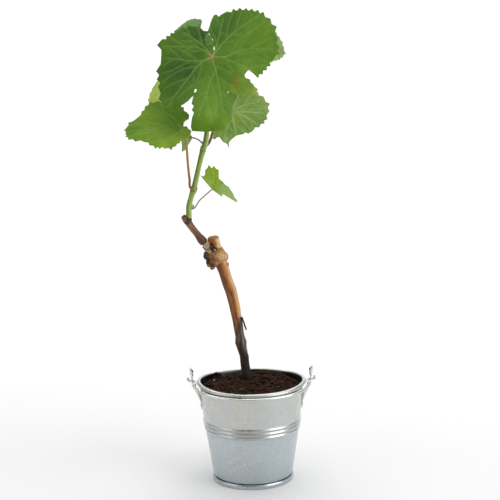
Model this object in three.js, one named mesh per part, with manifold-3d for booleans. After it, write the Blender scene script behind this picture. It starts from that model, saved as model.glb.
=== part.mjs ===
// A small grafted grapevine that grows in a zinc bucket.
//
// Units are millimetres and +Z is up. The origin is the centre of the bucket's flat underside. The bucket's
// two ears lie on the X axis and its wire bail lies down round the front of the rim, towards -Y.
// The rootstock rises from the soil, leans to -X and ends in a graft. A short brown cane leaves the graft
// and carries the green shoot with its leaves.
import * as THREE from 'three';
import { mergeVertices } from 'three/addons/utils/BufferGeometryUtils.js';
import Module from 'manifold-3d';

const wasm = await Module();
wasm.setup();

// ---------------------------------------------------------------------------------------------------------
// Driving dimensions
// ---------------------------------------------------------------------------------------------------------

const CLEARANCE = 0.3; // gap between neighbouring solids

// Bucket
const BUCKET_HEIGHT = 80;
const SHEET = 0.8; // wall thickness
const FLOOR = 1.2;
const FOOT_RADIUS = 32.2; // flat underside
const HEM_RADIUS = 33.1;
const HEM_HEIGHT = 3.9;
const LOWER_WALL = [[4.9, 32.3], [41.7, 38]]; // height and outer radius at both ends
const UPPER_WALL = [[51, 39.3], [76.8, 41.6]];
const RIM_LIFT = 1.9; // the ears hold the rim up a little at both sides
const RIM_LIFT_FROM = 70;
const RIB_COUNT = 3;
const RIB_DEPTH = 0.8;
const BEAD_RADIUS = 1.6; // rolled rim
const BEAD_CENTRE = 42.6;
const BUCKET_SEGMENTS = 48;

// Ears and bail
const PIVOT_HEIGHT = 80.8; // the bail's axis is parallel to X at this height
const EAR_SHEET = 0.8;
const EAR_HOLE_RADIUS = 1.6;
const EAR_OFFSET = 47.7; // from the bucket's axis to the ear's hole
const RIVET_HALF_WIDTHS = [0.8, 1.4, 1.4];
const RIVET_PLACE = [41.2, 0, 60.2];
const WIRE_RADIUS = 1.1;
const BAIL_HEIGHT = 76.4; // the front of the bow at rest, just below the rim
const BAIL_RISE = 1.7; // from the front of the bow to its sides
const BAIL_HALF_WIDTH = 47;
const BAIL_DEPTH = 45.8;

// Soil
const SOIL_LEVEL = 76.4;
const SOIL_MOUND = 79; // top of the low mound round the vine's foot
const MOUND_RADIUS = 17;
const MOUND_TOP_RADIUS = 8;
const SOIL_SEGMENTS = 32;

// Vine
const FOOT = [-4, 13.5, SOIL_MOUND + CLEARANCE];
const BLADE_THICKNESS = 1;
const PETIOLE_SIDES = 6;

// ---------------------------------------------------------------------------------------------------------
// Materials
// ---------------------------------------------------------------------------------------------------------

function material(color, roughness, metalness) {
  return new THREE.MeshStandardMaterial({ color, roughness, metalness });
}

const ZINC = material('#b4b7b6', 0.4, 1);
const WIRE = material('#c4c6c6', 0.3, 1);
const EARTH = material('#2a211c', 0.95, 0);
const WAXED_BARK = material('#b07a45', 0.55, 0);
const CALLUS = material('#a88a5c', 0.8, 0);
const WAX = material('#b9772f', 0.45, 0);
const CANE_BARK = material('#6b4a33', 0.7, 0);
const GREEN_STEM = material('#8a9a3c', 0.5, 0);
const LEAF_GREEN = material('#4f8129', 0.5, 0);
const YOUNG_GREEN = material('#84a833', 0.5, 0);
const PALE_GREEN = material('#86a566', 0.55, 0);

// ---------------------------------------------------------------------------------------------------------
// Solids from three.js geometries, and joins and cuts between them
// ---------------------------------------------------------------------------------------------------------

// Welds the geometry's shared corners and drops the triangles that have no area.
function welded(geometry) {
  const plain = geometry.clone();
  plain.deleteAttribute('normal');
  plain.deleteAttribute('uv');
  const merged = mergeVertices(plain, 1e-4);
  const kept = [];
  const index = merged.index.array;
  for (let corner = 0; corner < index.length; corner += 3) {
    const [a, b, c] = index.slice(corner, corner + 3);
    if (a !== b && b !== c && c !== a) kept.push(a, b, c);
  }
  merged.setIndex(kept);
  return merged;
}

function solidOf(geometry) {
  const merged = welded(geometry);
  const mesh = new wasm.Mesh({
    numProp: 3,
    vertProperties: new Float32Array(merged.attributes.position.array),
    triVerts: new Uint32Array(merged.index.array),
  });
  return new wasm.Manifold(mesh);
}

// The largest body of a solid, as a geometry. A cut can leave a loose scrap, which is dropped.
function geometryOf(solid) {
  const [body] = solid.decompose().sort((a, b) => b.volume() - a.volume());
  const mesh = body.getMesh();
  const geometry = new THREE.BufferGeometry();
  geometry.setAttribute('position', new THREE.BufferAttribute(mesh.vertProperties.slice(), 3));
  geometry.setIndex(new THREE.BufferAttribute(mesh.triVerts.slice(), 1));
  return geometry;
}

function joined(...geometries) {
  const solids = geometries.map(solidOf);
  return geometryOf(solids.reduce((total, solid) => total.add(solid)));
}

function cut(geometry, ...tools) {
  const solids = tools.map(solidOf);
  return geometryOf(solids.reduce((rest, tool) => rest.subtract(tool), solidOf(geometry)));
}

// Moves every corner of a geometry to the place that a function gives for it.
function reshaped(geometry, place) {
  const position = geometry.attributes.position;
  const corner = new THREE.Vector3();
  for (let index = 0; index < position.count; index += 1) {
    corner.fromBufferAttribute(position, index);
    const moved = place(corner, index);
    position.setXYZ(index, moved.x, moved.y, moved.z);
  }
  return geometry;
}

function vector([x, y, z]) {
  return new THREE.Vector3(x, y, z);
}

function mix(from, to, share) {
  return from + (to - from) * share;
}

// A tapering limb along a smooth curve. Each station is [x, y, z, radius].
function limb(stations, sides, stepsPerSpan, extraRadius = 0) {
  const curve = new THREE.CatmullRomCurve3(stations.map(vector));
  const spans = stations.length - 1;
  const steps = spans * stepsPerSpan;
  const rings = [];
  let normal = new THREE.Vector3(0, 1, 0);
  for (let step = 0; step <= steps; step += 1) {
    const tangent = curve.getTangent(step / steps);
    normal = normal.clone().addScaledVector(tangent, -normal.dot(tangent)).normalize();
    const span = Math.min(Math.floor(step / stepsPerSpan), spans - 1);
    const share = step / stepsPerSpan - span;
    rings.push({
      centre: curve.getPoint(step / steps),
      normal,
      binormal: new THREE.Vector3().crossVectors(normal, tangent),
      radius: mix(stations[span][3], stations[span + 1][3], share) + extraRadius,
    });
  }
  const tube = new THREE.CylinderGeometry(1, 1, 1, sides, steps);
  return reshaped(tube, ({ x, y, z }) => {
    const ring = rings[Math.round((y + 0.5) * steps)];
    return ring.centre.clone()
      .addScaledVector(ring.normal, x * ring.radius)
      .addScaledVector(ring.binormal, z * ring.radius);
  });
}

// The room that a limb needs: the same limb, thicker and longer by the clearance.
function roomFor(stations, sides = 12) {
  const longer = stations.map((station) => [...station]);
  const ends = [[0, 1], [stations.length - 1, stations.length - 2]];
  ends.forEach(([end, inner]) => {
    const outward = vector(stations[end]).sub(vector(stations[inner])).setLength(CLEARANCE);
    outward.toArray().forEach((step, axis) => { longer[end][axis] += step; });
  });
  return limb(longer, sides, 2, CLEARANCE);
}

// A ball squashed to three half-widths.
function lump([x, y, z], [halfX, halfY, halfZ]) {
  return new THREE.SphereGeometry(1, 10, 7).scale(halfX, halfY, halfZ).translate(x, y, z);
}

const group = new THREE.Group();

function add(name, geometry, finish) {
  const mesh = new THREE.Mesh(geometry, finish);
  mesh.name = name;
  group.add(mesh);
  return mesh;
}

// A profile of [radius, height] points turned round the Z axis.
function turned(profile, segments) {
  const points = profile.map(([radius, height]) => new THREE.Vector2(radius, height));
  return new THREE.LatheGeometry(points, segments).rotateX(Math.PI / 2);
}

// ---------------------------------------------------------------------------------------------------------
// Bucket and soil
// ---------------------------------------------------------------------------------------------------------

function bucketProfile() {
  const profile = [
    [0, 0],
    [FOOT_RADIUS, 0],
    [HEM_RADIUS - 0.2, 0.8],
    [HEM_RADIUS, HEM_HEIGHT / 2],
    [HEM_RADIUS - 0.2, HEM_HEIGHT - 0.8],
    [HEM_RADIUS - 0.8, HEM_HEIGHT],
    [LOWER_WALL[0][1], LOWER_WALL[0][0]],
  ];
  const [ribsFrom, ribsTo] = [LOWER_WALL[1], UPPER_WALL[0]];
  const stepsPerRib = 4;
  for (let step = 0; step <= RIB_COUNT * stepsPerRib; step += 1) {
    const share = step / (RIB_COUNT * stepsPerRib);
    const swell = RIB_DEPTH * Math.sin((Math.PI * step) / stepsPerRib) ** 2;
    profile.push([mix(ribsFrom[1], ribsTo[1], share) + swell, mix(ribsFrom[0], ribsTo[0], share)]);
  }
  const beadHeight = BUCKET_HEIGHT - BEAD_RADIUS;
  const [beadFrom, beadTo, beadStep] = [-120, 120, 40];
  for (let angle = beadFrom; angle <= beadTo; angle += beadStep) {
    const turn = THREE.MathUtils.degToRad(angle);
    profile.push([BEAD_CENTRE + BEAD_RADIUS * Math.cos(turn), beadHeight + BEAD_RADIUS * Math.sin(turn)]);
  }
  profile.push([UPPER_WALL[1][1] - SHEET / 2, BUCKET_HEIGHT - 0.8]);
  profile.push([UPPER_WALL[1][1] - SHEET, UPPER_WALL[1][0]]);
  profile.push([UPPER_WALL[0][1] - SHEET, UPPER_WALL[0][0]]);
  profile.push([LOWER_WALL[1][1] - SHEET, LOWER_WALL[1][0]]);
  profile.push([FOOT_RADIUS - SHEET - 0.2, FLOOR]);
  profile.push([0, FLOOR]);
  return profile;
}

// The thin rim isn't quite level: it rises towards the ears.
function lifted(geometry) {
  return reshaped(geometry, ({ x, y, z }) => {
    const share = THREE.MathUtils.smoothstep(z, RIM_LIFT_FROM, UPPER_WALL[1][0]);
    const towardsEar = Math.abs(x) / Math.max(1, Math.hypot(x, y));
    return new THREE.Vector3(x, y, z + RIM_LIFT * share * towardsEar ** 4);
  });
}

function soil() {
  const room = SHEET + CLEARANCE + 0.1; // from the wall's outer face to the soil
  const ball = turned([
    [0, FLOOR + CLEARANCE],
    [FOOT_RADIUS - room - 0.2, FLOOR + CLEARANCE],
    [LOWER_WALL[1][1] - room, LOWER_WALL[1][0]],
    [UPPER_WALL[0][1] - room, UPPER_WALL[0][0]],
    [UPPER_WALL[1][1] - room - 0.1, SOIL_LEVEL - 0.6],
    [UPPER_WALL[1][1] * 0.7, SOIL_LEVEL],
    [0, SOIL_LEVEL + 0.4],
  ], SOIL_SEGMENTS);
  const buried = SOIL_LEVEL - 6;
  const mound = turned([
    [0, buried],
    [MOUND_RADIUS + 2, buried],
    [MOUND_RADIUS, SOIL_LEVEL - 0.2],
    [MOUND_TOP_RADIUS, SOIL_MOUND],
    [0, SOIL_MOUND],
  ], 20).translate(FOOT[0], FOOT[1], 0);
  return joined(ball, mound);
}

// ---------------------------------------------------------------------------------------------------------
// Ears and bail
// ---------------------------------------------------------------------------------------------------------

// The ear's middle line from its foot on the wall to its tip: distance from the bucket's axis, height, half
// width along the rim, and how far its edges stand off towards the outside.
const EAR_STATIONS = [
  [40.55, 57, 1.2, 0],
  [40.75, 59, 4.2, -0.2],
  [41.1, 62.5, 4.6, -0.25],
  [44.4, 70, 4.6, -2.2],
  [47.6, 77, 4.4, 0],
  [EAR_OFFSET, PIVOT_HEIGHT, 4.5, 0.4],
  [48.7, 84, 5, -0.9],
  [49.5, 87.6, 4.6, -1.6],
  [49.7, 89.9, 2.8, -0.8],
  [49.4, 91.8, 0.5, 0],
];

function ear() {
  const spans = EAR_STATIONS.length - 1;
  const stepsPerSpan = 2;
  const spine = new THREE.CatmullRomCurve3(EAR_STATIONS.map(([x, z]) => new THREE.Vector3(x, 0, z)));
  const sheet = new THREE.BoxGeometry(1, 1, 1, 4, spans * stepsPerSpan, 1);
  const blank = reshaped(sheet, ({ x, y, z }) => {
    const along = (y + 0.5) * spans;
    const span = Math.min(Math.floor(along), spans - 1);
    const share = along - span;
    const [lower, upper] = [EAR_STATIONS[span], EAR_STATIONS[span + 1]];
    const halfWidth = mix(lower[2], upper[2], share);
    const flare = mix(lower[3], upper[3], share) * (2 * x) ** 2;
    const tangent = spine.getTangent(y + 0.5);
    const outward = new THREE.Vector3(tangent.z, 0, -tangent.x);
    return spine.getPoint(y + 0.5)
      .addScaledVector(outward, z * EAR_SHEET + flare)
      .add(new THREE.Vector3(0, 2 * x * halfWidth, 0));
  });
  const hole = new THREE.CylinderGeometry(EAR_HOLE_RADIUS, EAR_HOLE_RADIUS, 6, 16)
    .rotateZ(Math.PI / 2)
    .translate(EAR_OFFSET, 0, PIVOT_HEIGHT);
  return joined(cut(blank, hole), lump(RIVET_PLACE, RIVET_HALF_WIDTHS));
}

// The bail's wire from the hooked end outside one ear, through its hole, round the front and back again.
function bailStations() {
  const hookEnd = [
    [EAR_OFFSET + 3.5, 0.2, PIVOT_HEIGHT + 2.6],
    [EAR_OFFSET + 3.7, 0, PIVOT_HEIGHT + 0.8],
    [EAR_OFFSET + 2.7, 0, PIVOT_HEIGHT],
    [EAR_OFFSET, 0, PIVOT_HEIGHT],
    [EAR_OFFSET - 1.6, -0.3, PIVOT_HEIGHT - 0.2],
    [EAR_OFFSET - 2.1, -2, PIVOT_HEIGHT - 1.6],
    [EAR_OFFSET - 1.9, -4.2, BAIL_HEIGHT + BAIL_RISE],
  ];
  const bow = [];
  const bowSteps = 18;
  for (let step = 1; step < bowSteps; step += 1) {
    const turn = (Math.PI * step) / bowSteps;
    const height = BAIL_HEIGHT + BAIL_RISE * (1 - Math.sin(turn));
    bow.push([BAIL_HALF_WIDTH * Math.cos(turn), -BAIL_DEPTH * Math.sin(turn), height]);
  }
  const farEnd = hookEnd.map(([x, y, z]) => [-x, y, z]).reverse();
  return [...hookEnd, ...bow, ...farEnd].map((point) => [...point, WIRE_RADIUS]);
}

// ---------------------------------------------------------------------------------------------------------
// Wood and stems. Every station is [x, y, z, radius].
// ---------------------------------------------------------------------------------------------------------

const ROOTSTOCK = [
  [FOOT[0] + 0.2, FOOT[1] + 1, 70, 4.6],
  [FOOT[0], FOOT[1], FOOT[2], 4.3],
  [-4.6, 12.4, 90, 3.7],
  [-6, 11.2, 99, 3.7],
  [-7.4, 10.4, 106, 4.2],
  [-8.6, 9.6, 115, 3.8],
  [-10.6, 8.6, 129, 4],
  [-14.8, 6.8, 152, 4.7],
  [-17.6, 6, 160, 4.6],
  [-20.7, 5.2, 171, 4.7],
  [-23.2, 4.8, 178, 4.9],
];
const STUB = [
  [-24.6, 4.4, 183, 4.9],
  [-27, 4.2, 190, 4.9],
  [-28.3, 4, 195.4, 4.9],
  [-28.7, 4, 197.6, 4.2],
];
const CANE = [
  [-35.8, 3.2, 191.6, 2.8],
  [-37.8, 3, 194.8, 2.9],
  [-43.4, 2, 203, 2.7],
  [-48.8, 1.2, 210.6, 2.8],
  [-52, 0.8, 214.6, 2.1],
];
const SHOOT_LOWER = [
  [-47.6, 1, 210.2, 1.9],
  [-47.1, 1, 213.6, 2.1],
  [-46.9, 0.6, 222, 2.3],
  [-44.9, 0.2, 229.6, 2.1],
  [-42.9, 0, 235.2, 2.6],
];
const SHOOT_UPPER = [
  [-42.9, 0, 235.2, 2.5],
  [-41.7, 0.2, 239.4, 2.2],
  [-37.7, 1.4, 255.6, 2],
  [-34.8, 2.6, 266, 2.4],
  [-32.9, 3.4, 272.6, 2],
  [-28.6, 5.8, 298, 1.8],
  [-25.8, 7.6, 317, 1.6],
  [-22.2, 9, 337, 1.2],
  [-20.6, 9.6, 345, 0.5],
];

function graftKnot() {
  const callus = joined(
    lump([-25.6, 4.6, 181.4], [8.4, 7.2, 8.6]),
    lump([-33, 3.2, 188.2], [3.4, 3.2, 3.4]),
    lump([-34, 3.6, 182], [2.8, 3.4, 3.2]),
    lump([-31.6, 3.4, 176.4], [3, 3.4, 3.2]),
    lump([-20.2, 4.6, 181], [4, 5, 4.2]),
    lump([-17.8, 4.4, 174.8], [2.2, 2.4, 2.2]),
    lump([-26.4, -1.4, 185], [4.2, 2.6, 3.4]),
    lump([-27, 10.6, 182], [4.6, 2.6, 4.4]),
  );
  return cut(
    callus,
    roomFor(ROOTSTOCK),
    roomFor(STUB),
    roomFor(CANE, 10),
  );
}

function rootstock() {
  const belowGround = new THREE.BoxGeometry(30, 30, 20).translate(FOOT[0], FOOT[1], FOOT[2] - 10);
  return cut(limb(ROOTSTOCK, 12, 2), belowGround);
}

// ---------------------------------------------------------------------------------------------------------
// Leaves
// ---------------------------------------------------------------------------------------------------------

// A corner of a blade's edge is [angle from the midrib in degrees, reach from the petiole in mm, notches on
// the way to the next corner]. Angles run anticlockwise as seen from above the blade. The plain outline
// below is for a blade of length 1; a leaf scales it by its own length and width.
const PLAIN_OUTLINE = [
  [-174, 0.12, 0], [-163, 0.5, 2], [-135, 0.68, 2], [-105, 0.78, 2], [-80, 0.76, 2], [-62, 0.8, 1],
  [-48, 0.85, 1], [-36, 0.85, 1], [-24, 0.89, 1], [-14, 0.9, 1], [0, 1, 1], [14, 0.92, 1],
  [24, 0.89, 1], [36, 0.84, 1], [48, 0.82, 1], [62, 0.81, 2], [80, 0.76, 2], [105, 0.78, 2],
  [135, 0.68, 2], [163, 0.5, 0], [174, 0.12, 0],
];
const BROAD_OUTLINE = [
  [-172, 5, 0], [-150, 16, 1], [-110, 20, 2], [-50, 22, 2], [-25, 22, 0], [-16, 25.5, 0],
  [-13.5, 34.9, 0], [-10, 40, 1], [-2, 43, 1], [3, 41.3, 1], [8, 37.6, 1], [13, 33.2, 2], [19, 29.8, 2],
  [30, 25.8, 2], [44, 23, 2], [65, 20, 2], [110, 20, 2], [150, 16, 1], [172, 5, 0],
];
const TOP_OUTLINE = [
  [-166, 22, 0], [-156, 23.5, 0], [-152, 27, 0], [-140, 32.2, 2], [-123, 36.5, 3], [-106, 41.2, 0],
  [-98, 43.6, 1], [-86, 39, 1], [-71, 44.4, 2], [-55, 47.5, 1], [-45, 52.7, 1], [-32, 56.4, 1],
  [-22, 46.2, 0], [-19.5, 41.5, 0], [-18, 35, 0], [-16.5, 39, 0], [-15, 42.9, 1], [-11.5, 48.5, 1], [-8.5, 54.5, 0], [-7.5, 58.5, 0], [-6, 60.4, 0],
  [-1, 60.7, 0], [4, 61.2, 0], [9, 61.9, 0], [14, 62.4, 0], [17, 60.9, 0], [20, 57.5, 0], [21.5, 54, 0],
  [22.3, 49, 1], [22.8, 44.9, 1], [26, 34.8, 1], [32, 30.3, 1], [44, 26, 1], [59, 23, 0],
  [60.5, 31.3, 0], [66.5, 31.8, 0], [68, 40.5, 3], [84, 46, 1], [91, 47.8, 1], [96, 53, 2],
  [110, 53, 1], [121, 56, 2], [138, 55, 3], [152, 49, 2], [163, 43.8, 1], [168, 40.2, 0], [173, 37, 0],
  [176.5, 34.4, 0], [179.5, 36.2, 0], [183, 35.3, 0], [187, 29.7, 0], [191, 24.5, 0],
];
const RIGHT_OUTLINE = [
  [-168, 6, 0], [-140, 15, 0], [-112, 22, 2], [-90, 28.5, 3], [-69, 26, 2], [-40, 31.6, 2],
  [-16, 30.5, 1], [-8, 29.5, 2], [14, 26, 1], [19, 28, 2], [34, 24.5, 1], [58, 27.5, 1], [61, 34.5, 1],
  [71, 29, 0], [80, 25.5, 1], [85, 30.5, 2], [96, 27, 0], [118, 14, 0], [160, 6, 0],
];
const LEFT_OUTLINE = [
  [-170, 4.5, 0], [-140, 4.5, 0], [-118, 8.8, 0], [-108, 12.5, 0], [-95, 14.9, 1], [-84, 19.6, 1],
  [-78, 22.3, 2], [-55, 31.5, 2], [-38, 41, 2], [-25, 42, 1], [-17, 43, 1], [-11, 51, 1],
  [-7, 50.6, 0], [-4, 53.8, 1], [1, 50.6, 1], [4, 50.8, 1], [10, 45.8, 1], [16, 39, 1], [23, 31.4, 1],
  [33, 28.4, 1], [45, 26.2, 2], [61, 21.8, 1], [79, 21.3, 1], [87, 17.5, 1], [96, 15, 1],
  [106, 12.6, 0], [117, 12, 0], [142, 10.6, 0], [162, 8.9, 0], [175, 5, 0],
];
const UPPER_OUTLINE = [
  [-174, 3, 0], [-150, 9, 1], [-110, 12, 1], [-75, 13, 2], [-45, 15, 2], [-20, 18, 1], [-8, 20.5, 1],
  [0, 24.8, 1], [8, 24.5, 1], [15, 22.6, 1], [26, 18.1, 1], [38, 16.3, 0], [46, 13.3, 1],
  [70, 12.5, 1], [100, 12.5, 1], [140, 10.5, 1], [165, 6, 0], [176, 3, 0],
];
const SMALL_OUTLINE = [
  [-170, 2, 0], [-90, 3, 0], [-30, 5, 0], [-5, 11.5, 1], [5, 13.9, 0], [9, 12.5, 1], [20, 9, 1],
  [46, 7.3, 1], [80, 5, 0], [110, 6.5, 0], [135, 8.5, 1], [160, 6, 0], [172, 2.5, 0],
];
const YOUNG_OUTLINE = [
  [-160, 2.2, 0], [-60, 2, 0], [-20, 5.8, 0], [-14, 10.6, 0], [-6, 9.2, 0], [-0.5, 9.2, 0],
  [0, 18.6, 0], [0.5, 22.6, 0], [5, 21.8, 1], [16, 16.6, 0], [38, 12.5, 1], [69, 9.6, 0], [92, 9.3, 0],
  [107, 16.5, 1], [120, 19.6, 0], [126, 17.6, 0], [132, 21, 1], [145, 16.9, 0], [151, 13.3, 0],
  [160, 12.6, 0], [166, 15, 0], [171, 8, 0],
];

// Each leaf: where the petiole meets the blade, the upper side's direction, the midrib's direction, the
// outline with its length and width, the curls that bend the blade, and the petiole's way to the shoot.
// A curl is [direction in degrees, where it starts, its radius (negative bends down), its whole angle].
const LEAVES = {
  leaf_top: {
    at: [-25.6, -6, 338], up: [0, -0.93, 0.36], midrib: [-0.1, -0.36, -0.93],
    outline: TOP_OUTLINE, length: 1, width: 1, notch: 1.9, finish: LEAF_GREEN,
    openings: [[[-175, 4], [-160, 6.5], [-151, 10.5], [-156, 16], [-165, 20.4], [-168, 20.4], [-177, 15],
      [-184, 10], [-194, 6]], [[-20.5, 30.4], [-18.6, 29.4], [-16.8, 31.6], [-18.4, 33.2]],
      [[73.4, 30.6], [67.2, 38.8], [62, 38], [62, 30], [67.5, 29.6]]],
    fold: 0.04,
    curls: [[-2, 18, 60, 26], [-2, 50, -22, 55], [-50, 22, -60, 25]],
    petiole: [[-24.9, 8.1, 322], [-26, 6.6, 328], [-26, 2.4, 334.6], [-25.6, -5.7, 337.9]], stalk: 1.2,
  },
  leaf_right: {
    at: [-11.9, 18, 296.6], up: [-0.1, 0.86, 0.5], midrib: [0.83, 0.35, -0.43],
    outline: RIGHT_OUTLINE, length: 1, width: 1, notch: 1.5, finish: PALE_GREEN,
    fold: 0.12,
    curls: [[0, 16, -50, 25], [90, 16, -40, 25]],
    petiole: [[-34.6, 2.9, 268], [-29.9, 4.8, 272], [-26.4, 9, 281.6], [-20, 14, 291],
      [-12.4, 17.8, 296.2]],
    stalk: 1,
  },
  leaf_left: {
    at: [-49.8, -10, 283.7], up: [-0.25, -0.76, 0.6], midrib: [-0.95, 0.31, -0.01],
    outline: LEFT_OUTLINE, length: 1, width: 1, notch: 1.4, finish: LEAF_GREEN,
    openings: [[[-87, 5.8], [-118, 9.4], [-150, 9.4], [-166, 5.2], [-150, 3.4], [-100, 2.2]]],
    fold: 0.1,
    curls: [[0, 26, -60, 22], [75, 10, -50, 20]],
    petiole: [[-42.6, 0, 236.6], [-45.4, -1.4, 237.6], [-45.6, -3, 243.6], [-46.4, -5.4, 255],
      [-46.9, -7.4, 270], [-47.5, -8, 278], [-49.6, -9.6, 283.4]],
    stalk: 1,
  },
  leaf_back_left: {
    at: [-52.9, 27, 319], up: [-0.45, 0.45, 0.77], midrib: [-0.88, 0.13, -0.42],
    outline: PLAIN_OUTLINE, length: 34, width: 27, notch: 0.9, finish: YOUNG_GREEN,
    fold: 0.15,
    curls: [[0, 14, -40, 25]],
    petiole: [[-30, 5, 290.6], [-35, 8.6, 299], [-43, 18, 311], [-52.4, 26.6, 318.6]], stalk: 0.9,
  },
  leaf_back_top: {
    at: [-42.8, 24, 346.6], up: [0, -0.75, 0.66], midrib: [0, 0.66, 0.75],
    outline: BROAD_OUTLINE, length: 1, width: 1, notch: 1.2, finish: YOUNG_GREEN,
    fold: 0.12,
    curls: [[0, 16, -50, 22]],
    petiole: [[-23.6, 8.5, 329], [-28, 15, 331], [-36, 24, 338.6], [-42.4, 24.6, 346]], stalk: 0.8,
  },
  leaf_back_right: {
    at: [9, 20, 349], up: [0.3, 0.78, 0.53], midrib: [0.94, -0.1, -0.22],
    outline: PLAIN_OUTLINE, length: 26, width: 23, notch: 1.1, finish: PALE_GREEN,
    fold: 0.15,
    curls: [[0, 12, -40, 20]],
    petiole: [[-21.6, 9.2, 340], [-16, 12.6, 345], [-4, 17.4, 349], [8.5, 19.8, 348.8]], stalk: 0.8,
  },
  leaf_right_upper: {
    at: [-12, 4.4, 320], up: [0.25, -0.76, 0.6], midrib: [0.86, -0.1, -0.46],
    outline: UPPER_OUTLINE, length: 1, width: 1, notch: 1.1, finish: LEAF_GREEN,
    fold: 0.15,
    curls: [[0, 12, -40, 20]],
    petiole: [[-27.4, 6.8, 306], [-22, 9.4, 310], [-17, 9.8, 316], [-12.3, 5.6, 319.6]], stalk: 0.8,
  },
  leaf_small: {
    at: [-45.6, 12, 277], up: [-0.2, 0.85, 0.35], midrib: [-0.42, 0.2, -0.88],
    outline: SMALL_OUTLINE, length: 1, width: 1, notch: 0.3, finish: PALE_GREEN,
    fold: 0.3,
    curls: [[0, 4, -20, 25]],
    petiole: [[-33.8, 3.2, 270.8], [-37, 6.8, 273.6], [-40, 9.6, 275.4], [-45.4, 11.9, 276.9]], stalk: 0.6,
  },
  leaf_young: {
    at: [-27.4, 0, 236.4], up: [0.1, -0.86, 0.5], midrib: [0.84, -0.2, -0.51],
    outline: YOUNG_OUTLINE, length: 1, width: 1, notch: 0.7, finish: YOUNG_GREEN,
    fold: 0.1,
    curls: [[120, 8, -60, 15]],
    petiole: [[-46.6, 0.6, 220.4], [-43.4, -0.4, 220.6], [-41.2, -0.9, 222.4], [-38.6, -1.6, 226.6],
      [-32.7, -1, 231.8], [-27.8, -0.1, 236]],
    stalk: 0.55,
  },
};

// The blade's edge as [across, along] points, with teeth between the notches.
function bladeEdge({ outline, length, width, notch }) {
  const corners = outline.map(([angle, reach, notches]) => {
    const turn = THREE.MathUtils.degToRad(angle);
    const point = new THREE.Vector2(Math.sin(turn) * reach * width, Math.cos(turn) * reach * length);
    return { point, notches };
  });
  const edge = [];
  corners.forEach(({ point, notches }, index) => {
    const next = corners[(index + 1) % corners.length].point;
    const side = next.clone().sub(point);
    const outward = new THREE.Vector2(-side.y, side.x).normalize();
    edge.push(point);
    for (let step = 1; step < 2 * notches; step += 1) {
      const share = step / (2 * notches);
      const swell = 0.15 * side.length() * share * (1 - share);
      const depth = step % 2 === 1 ? notch : 0;
      edge.push(point.clone().addScaledVector(side, share).addScaledVector(outward, swell - depth));
    }
  });
  return edge;
}

// Bends a point of the flat blade along its curls. The result is [across, along, height].
function curled([across, along], { fold, curls }) {
  let point = [across, along, fold * (Math.hypot(across, 4) - 4)];
  curls.forEach(([direction, start, radius, wholeAngle]) => {
    const turn = THREE.MathUtils.degToRad(direction);
    const [sine, cosine] = [Math.sin(turn), Math.cos(turn)];
    const distance = point[0] * sine + point[1] * cosine;
    const beyond = distance - start;
    if (beyond <= 0) return;
    const limit = Math.abs(radius) * THREE.MathUtils.degToRad(wholeAngle);
    const onArc = Math.min(beyond, limit);
    const bend = onArc / radius;
    const straight = beyond - onArc;
    const forward = (radius - point[2]) * Math.sin(bend) + straight * Math.cos(bend) - beyond;
    const height = radius - (radius - point[2]) * Math.cos(bend) + straight * Math.sin(bend);
    point = [point[0] + forward * sine, point[1] + forward * cosine, height];
  });
  return point;
}

// A function that places a flat blade's point in space, on its upper (+1) or lower (-1) face.
function bladeFrame(leaf) {
  const up = vector(leaf.up).normalize();
  const midrib = vector(leaf.midrib);
  midrib.addScaledVector(up, -midrib.dot(up)).normalize();
  const across = new THREE.Vector3().crossVectors(up, midrib);
  return (flat, height) => {
    const [x, y, z] = curled(flat, leaf);
    return vector(leaf.at)
      .addScaledVector(across, x)
      .addScaledVector(midrib, y)
      .addScaledVector(up, z + height);
  };
}

const RINGS = [0.36, 0.7, 1];

function blade(leaf) {
  const edge = bladeEdge(leaf);
  const place = bladeFrame(leaf);
  const half = BLADE_THICKNESS / 2;
  const lower = [0, ...RINGS].map((share) => new THREE.Vector2(share, -half));
  const upper = [...RINGS, 0].sort((a, b) => b - a).map((share) => new THREE.Vector2(share, half));
  const disc = new THREE.LatheGeometry([...lower, ...upper], edge.length);
  const profileLength = lower.length + upper.length;
  return reshaped(disc, ({ x, y, z }, index) => {
    const station = edge[Math.floor(index / profileLength) % edge.length];
    const share = Math.hypot(x, z);
    return place([station.x * share, station.y * share], y);
  });
}

// A gap between two lobes whose edges lie over each other, cut right through the blade.
function openingTool(leaf, opening) {
  const place = bladeFrame(leaf);
  const outline = opening.map(([angle, reach]) => {
    const turn = THREE.MathUtils.degToRad(angle);
    return new THREE.Vector2(Math.sin(turn) * reach, Math.cos(turn) * reach);
  });
  const depth = 8;
  const prism = new THREE.ExtrudeGeometry(new THREE.Shape(outline), { depth, bevelEnabled: false });
  return reshaped(prism, ({ x, y, z }) => place([x, y], depth / 2 - z));
}

function leafSolid(leaf) {
  const openings = (leaf.openings ?? []).map((opening) => openingTool(leaf, opening));
  const flat = openings.length ? cut(blade(leaf), ...openings) : blade(leaf);
  const radii = leaf.petiole.map((_, index) => (index === 0 ? 1.5 : 1) * leaf.stalk);
  const stations = leaf.petiole.map((point, index) => [...point, radii[index]]);
  const shoot = [SHOOT_LOWER, SHOOT_UPPER].map((stem) => roomFor(stem, 8));
  return joined(flat, cut(limb(stations, PETIOLE_SIDES, 2), ...shoot));
}

// ---------------------------------------------------------------------------------------------------------
// Assembly
// ---------------------------------------------------------------------------------------------------------

add('bucket', lifted(turned(bucketProfile(), BUCKET_SEGMENTS)), ZINC);
add('soil', soil(), EARTH);
add('ear_right', ear(), ZINC);
add('ear_left', ear(), ZINC).rotation.z = Math.PI;
add('bail', limb(bailStations(), 8, 1), WIRE);

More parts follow.
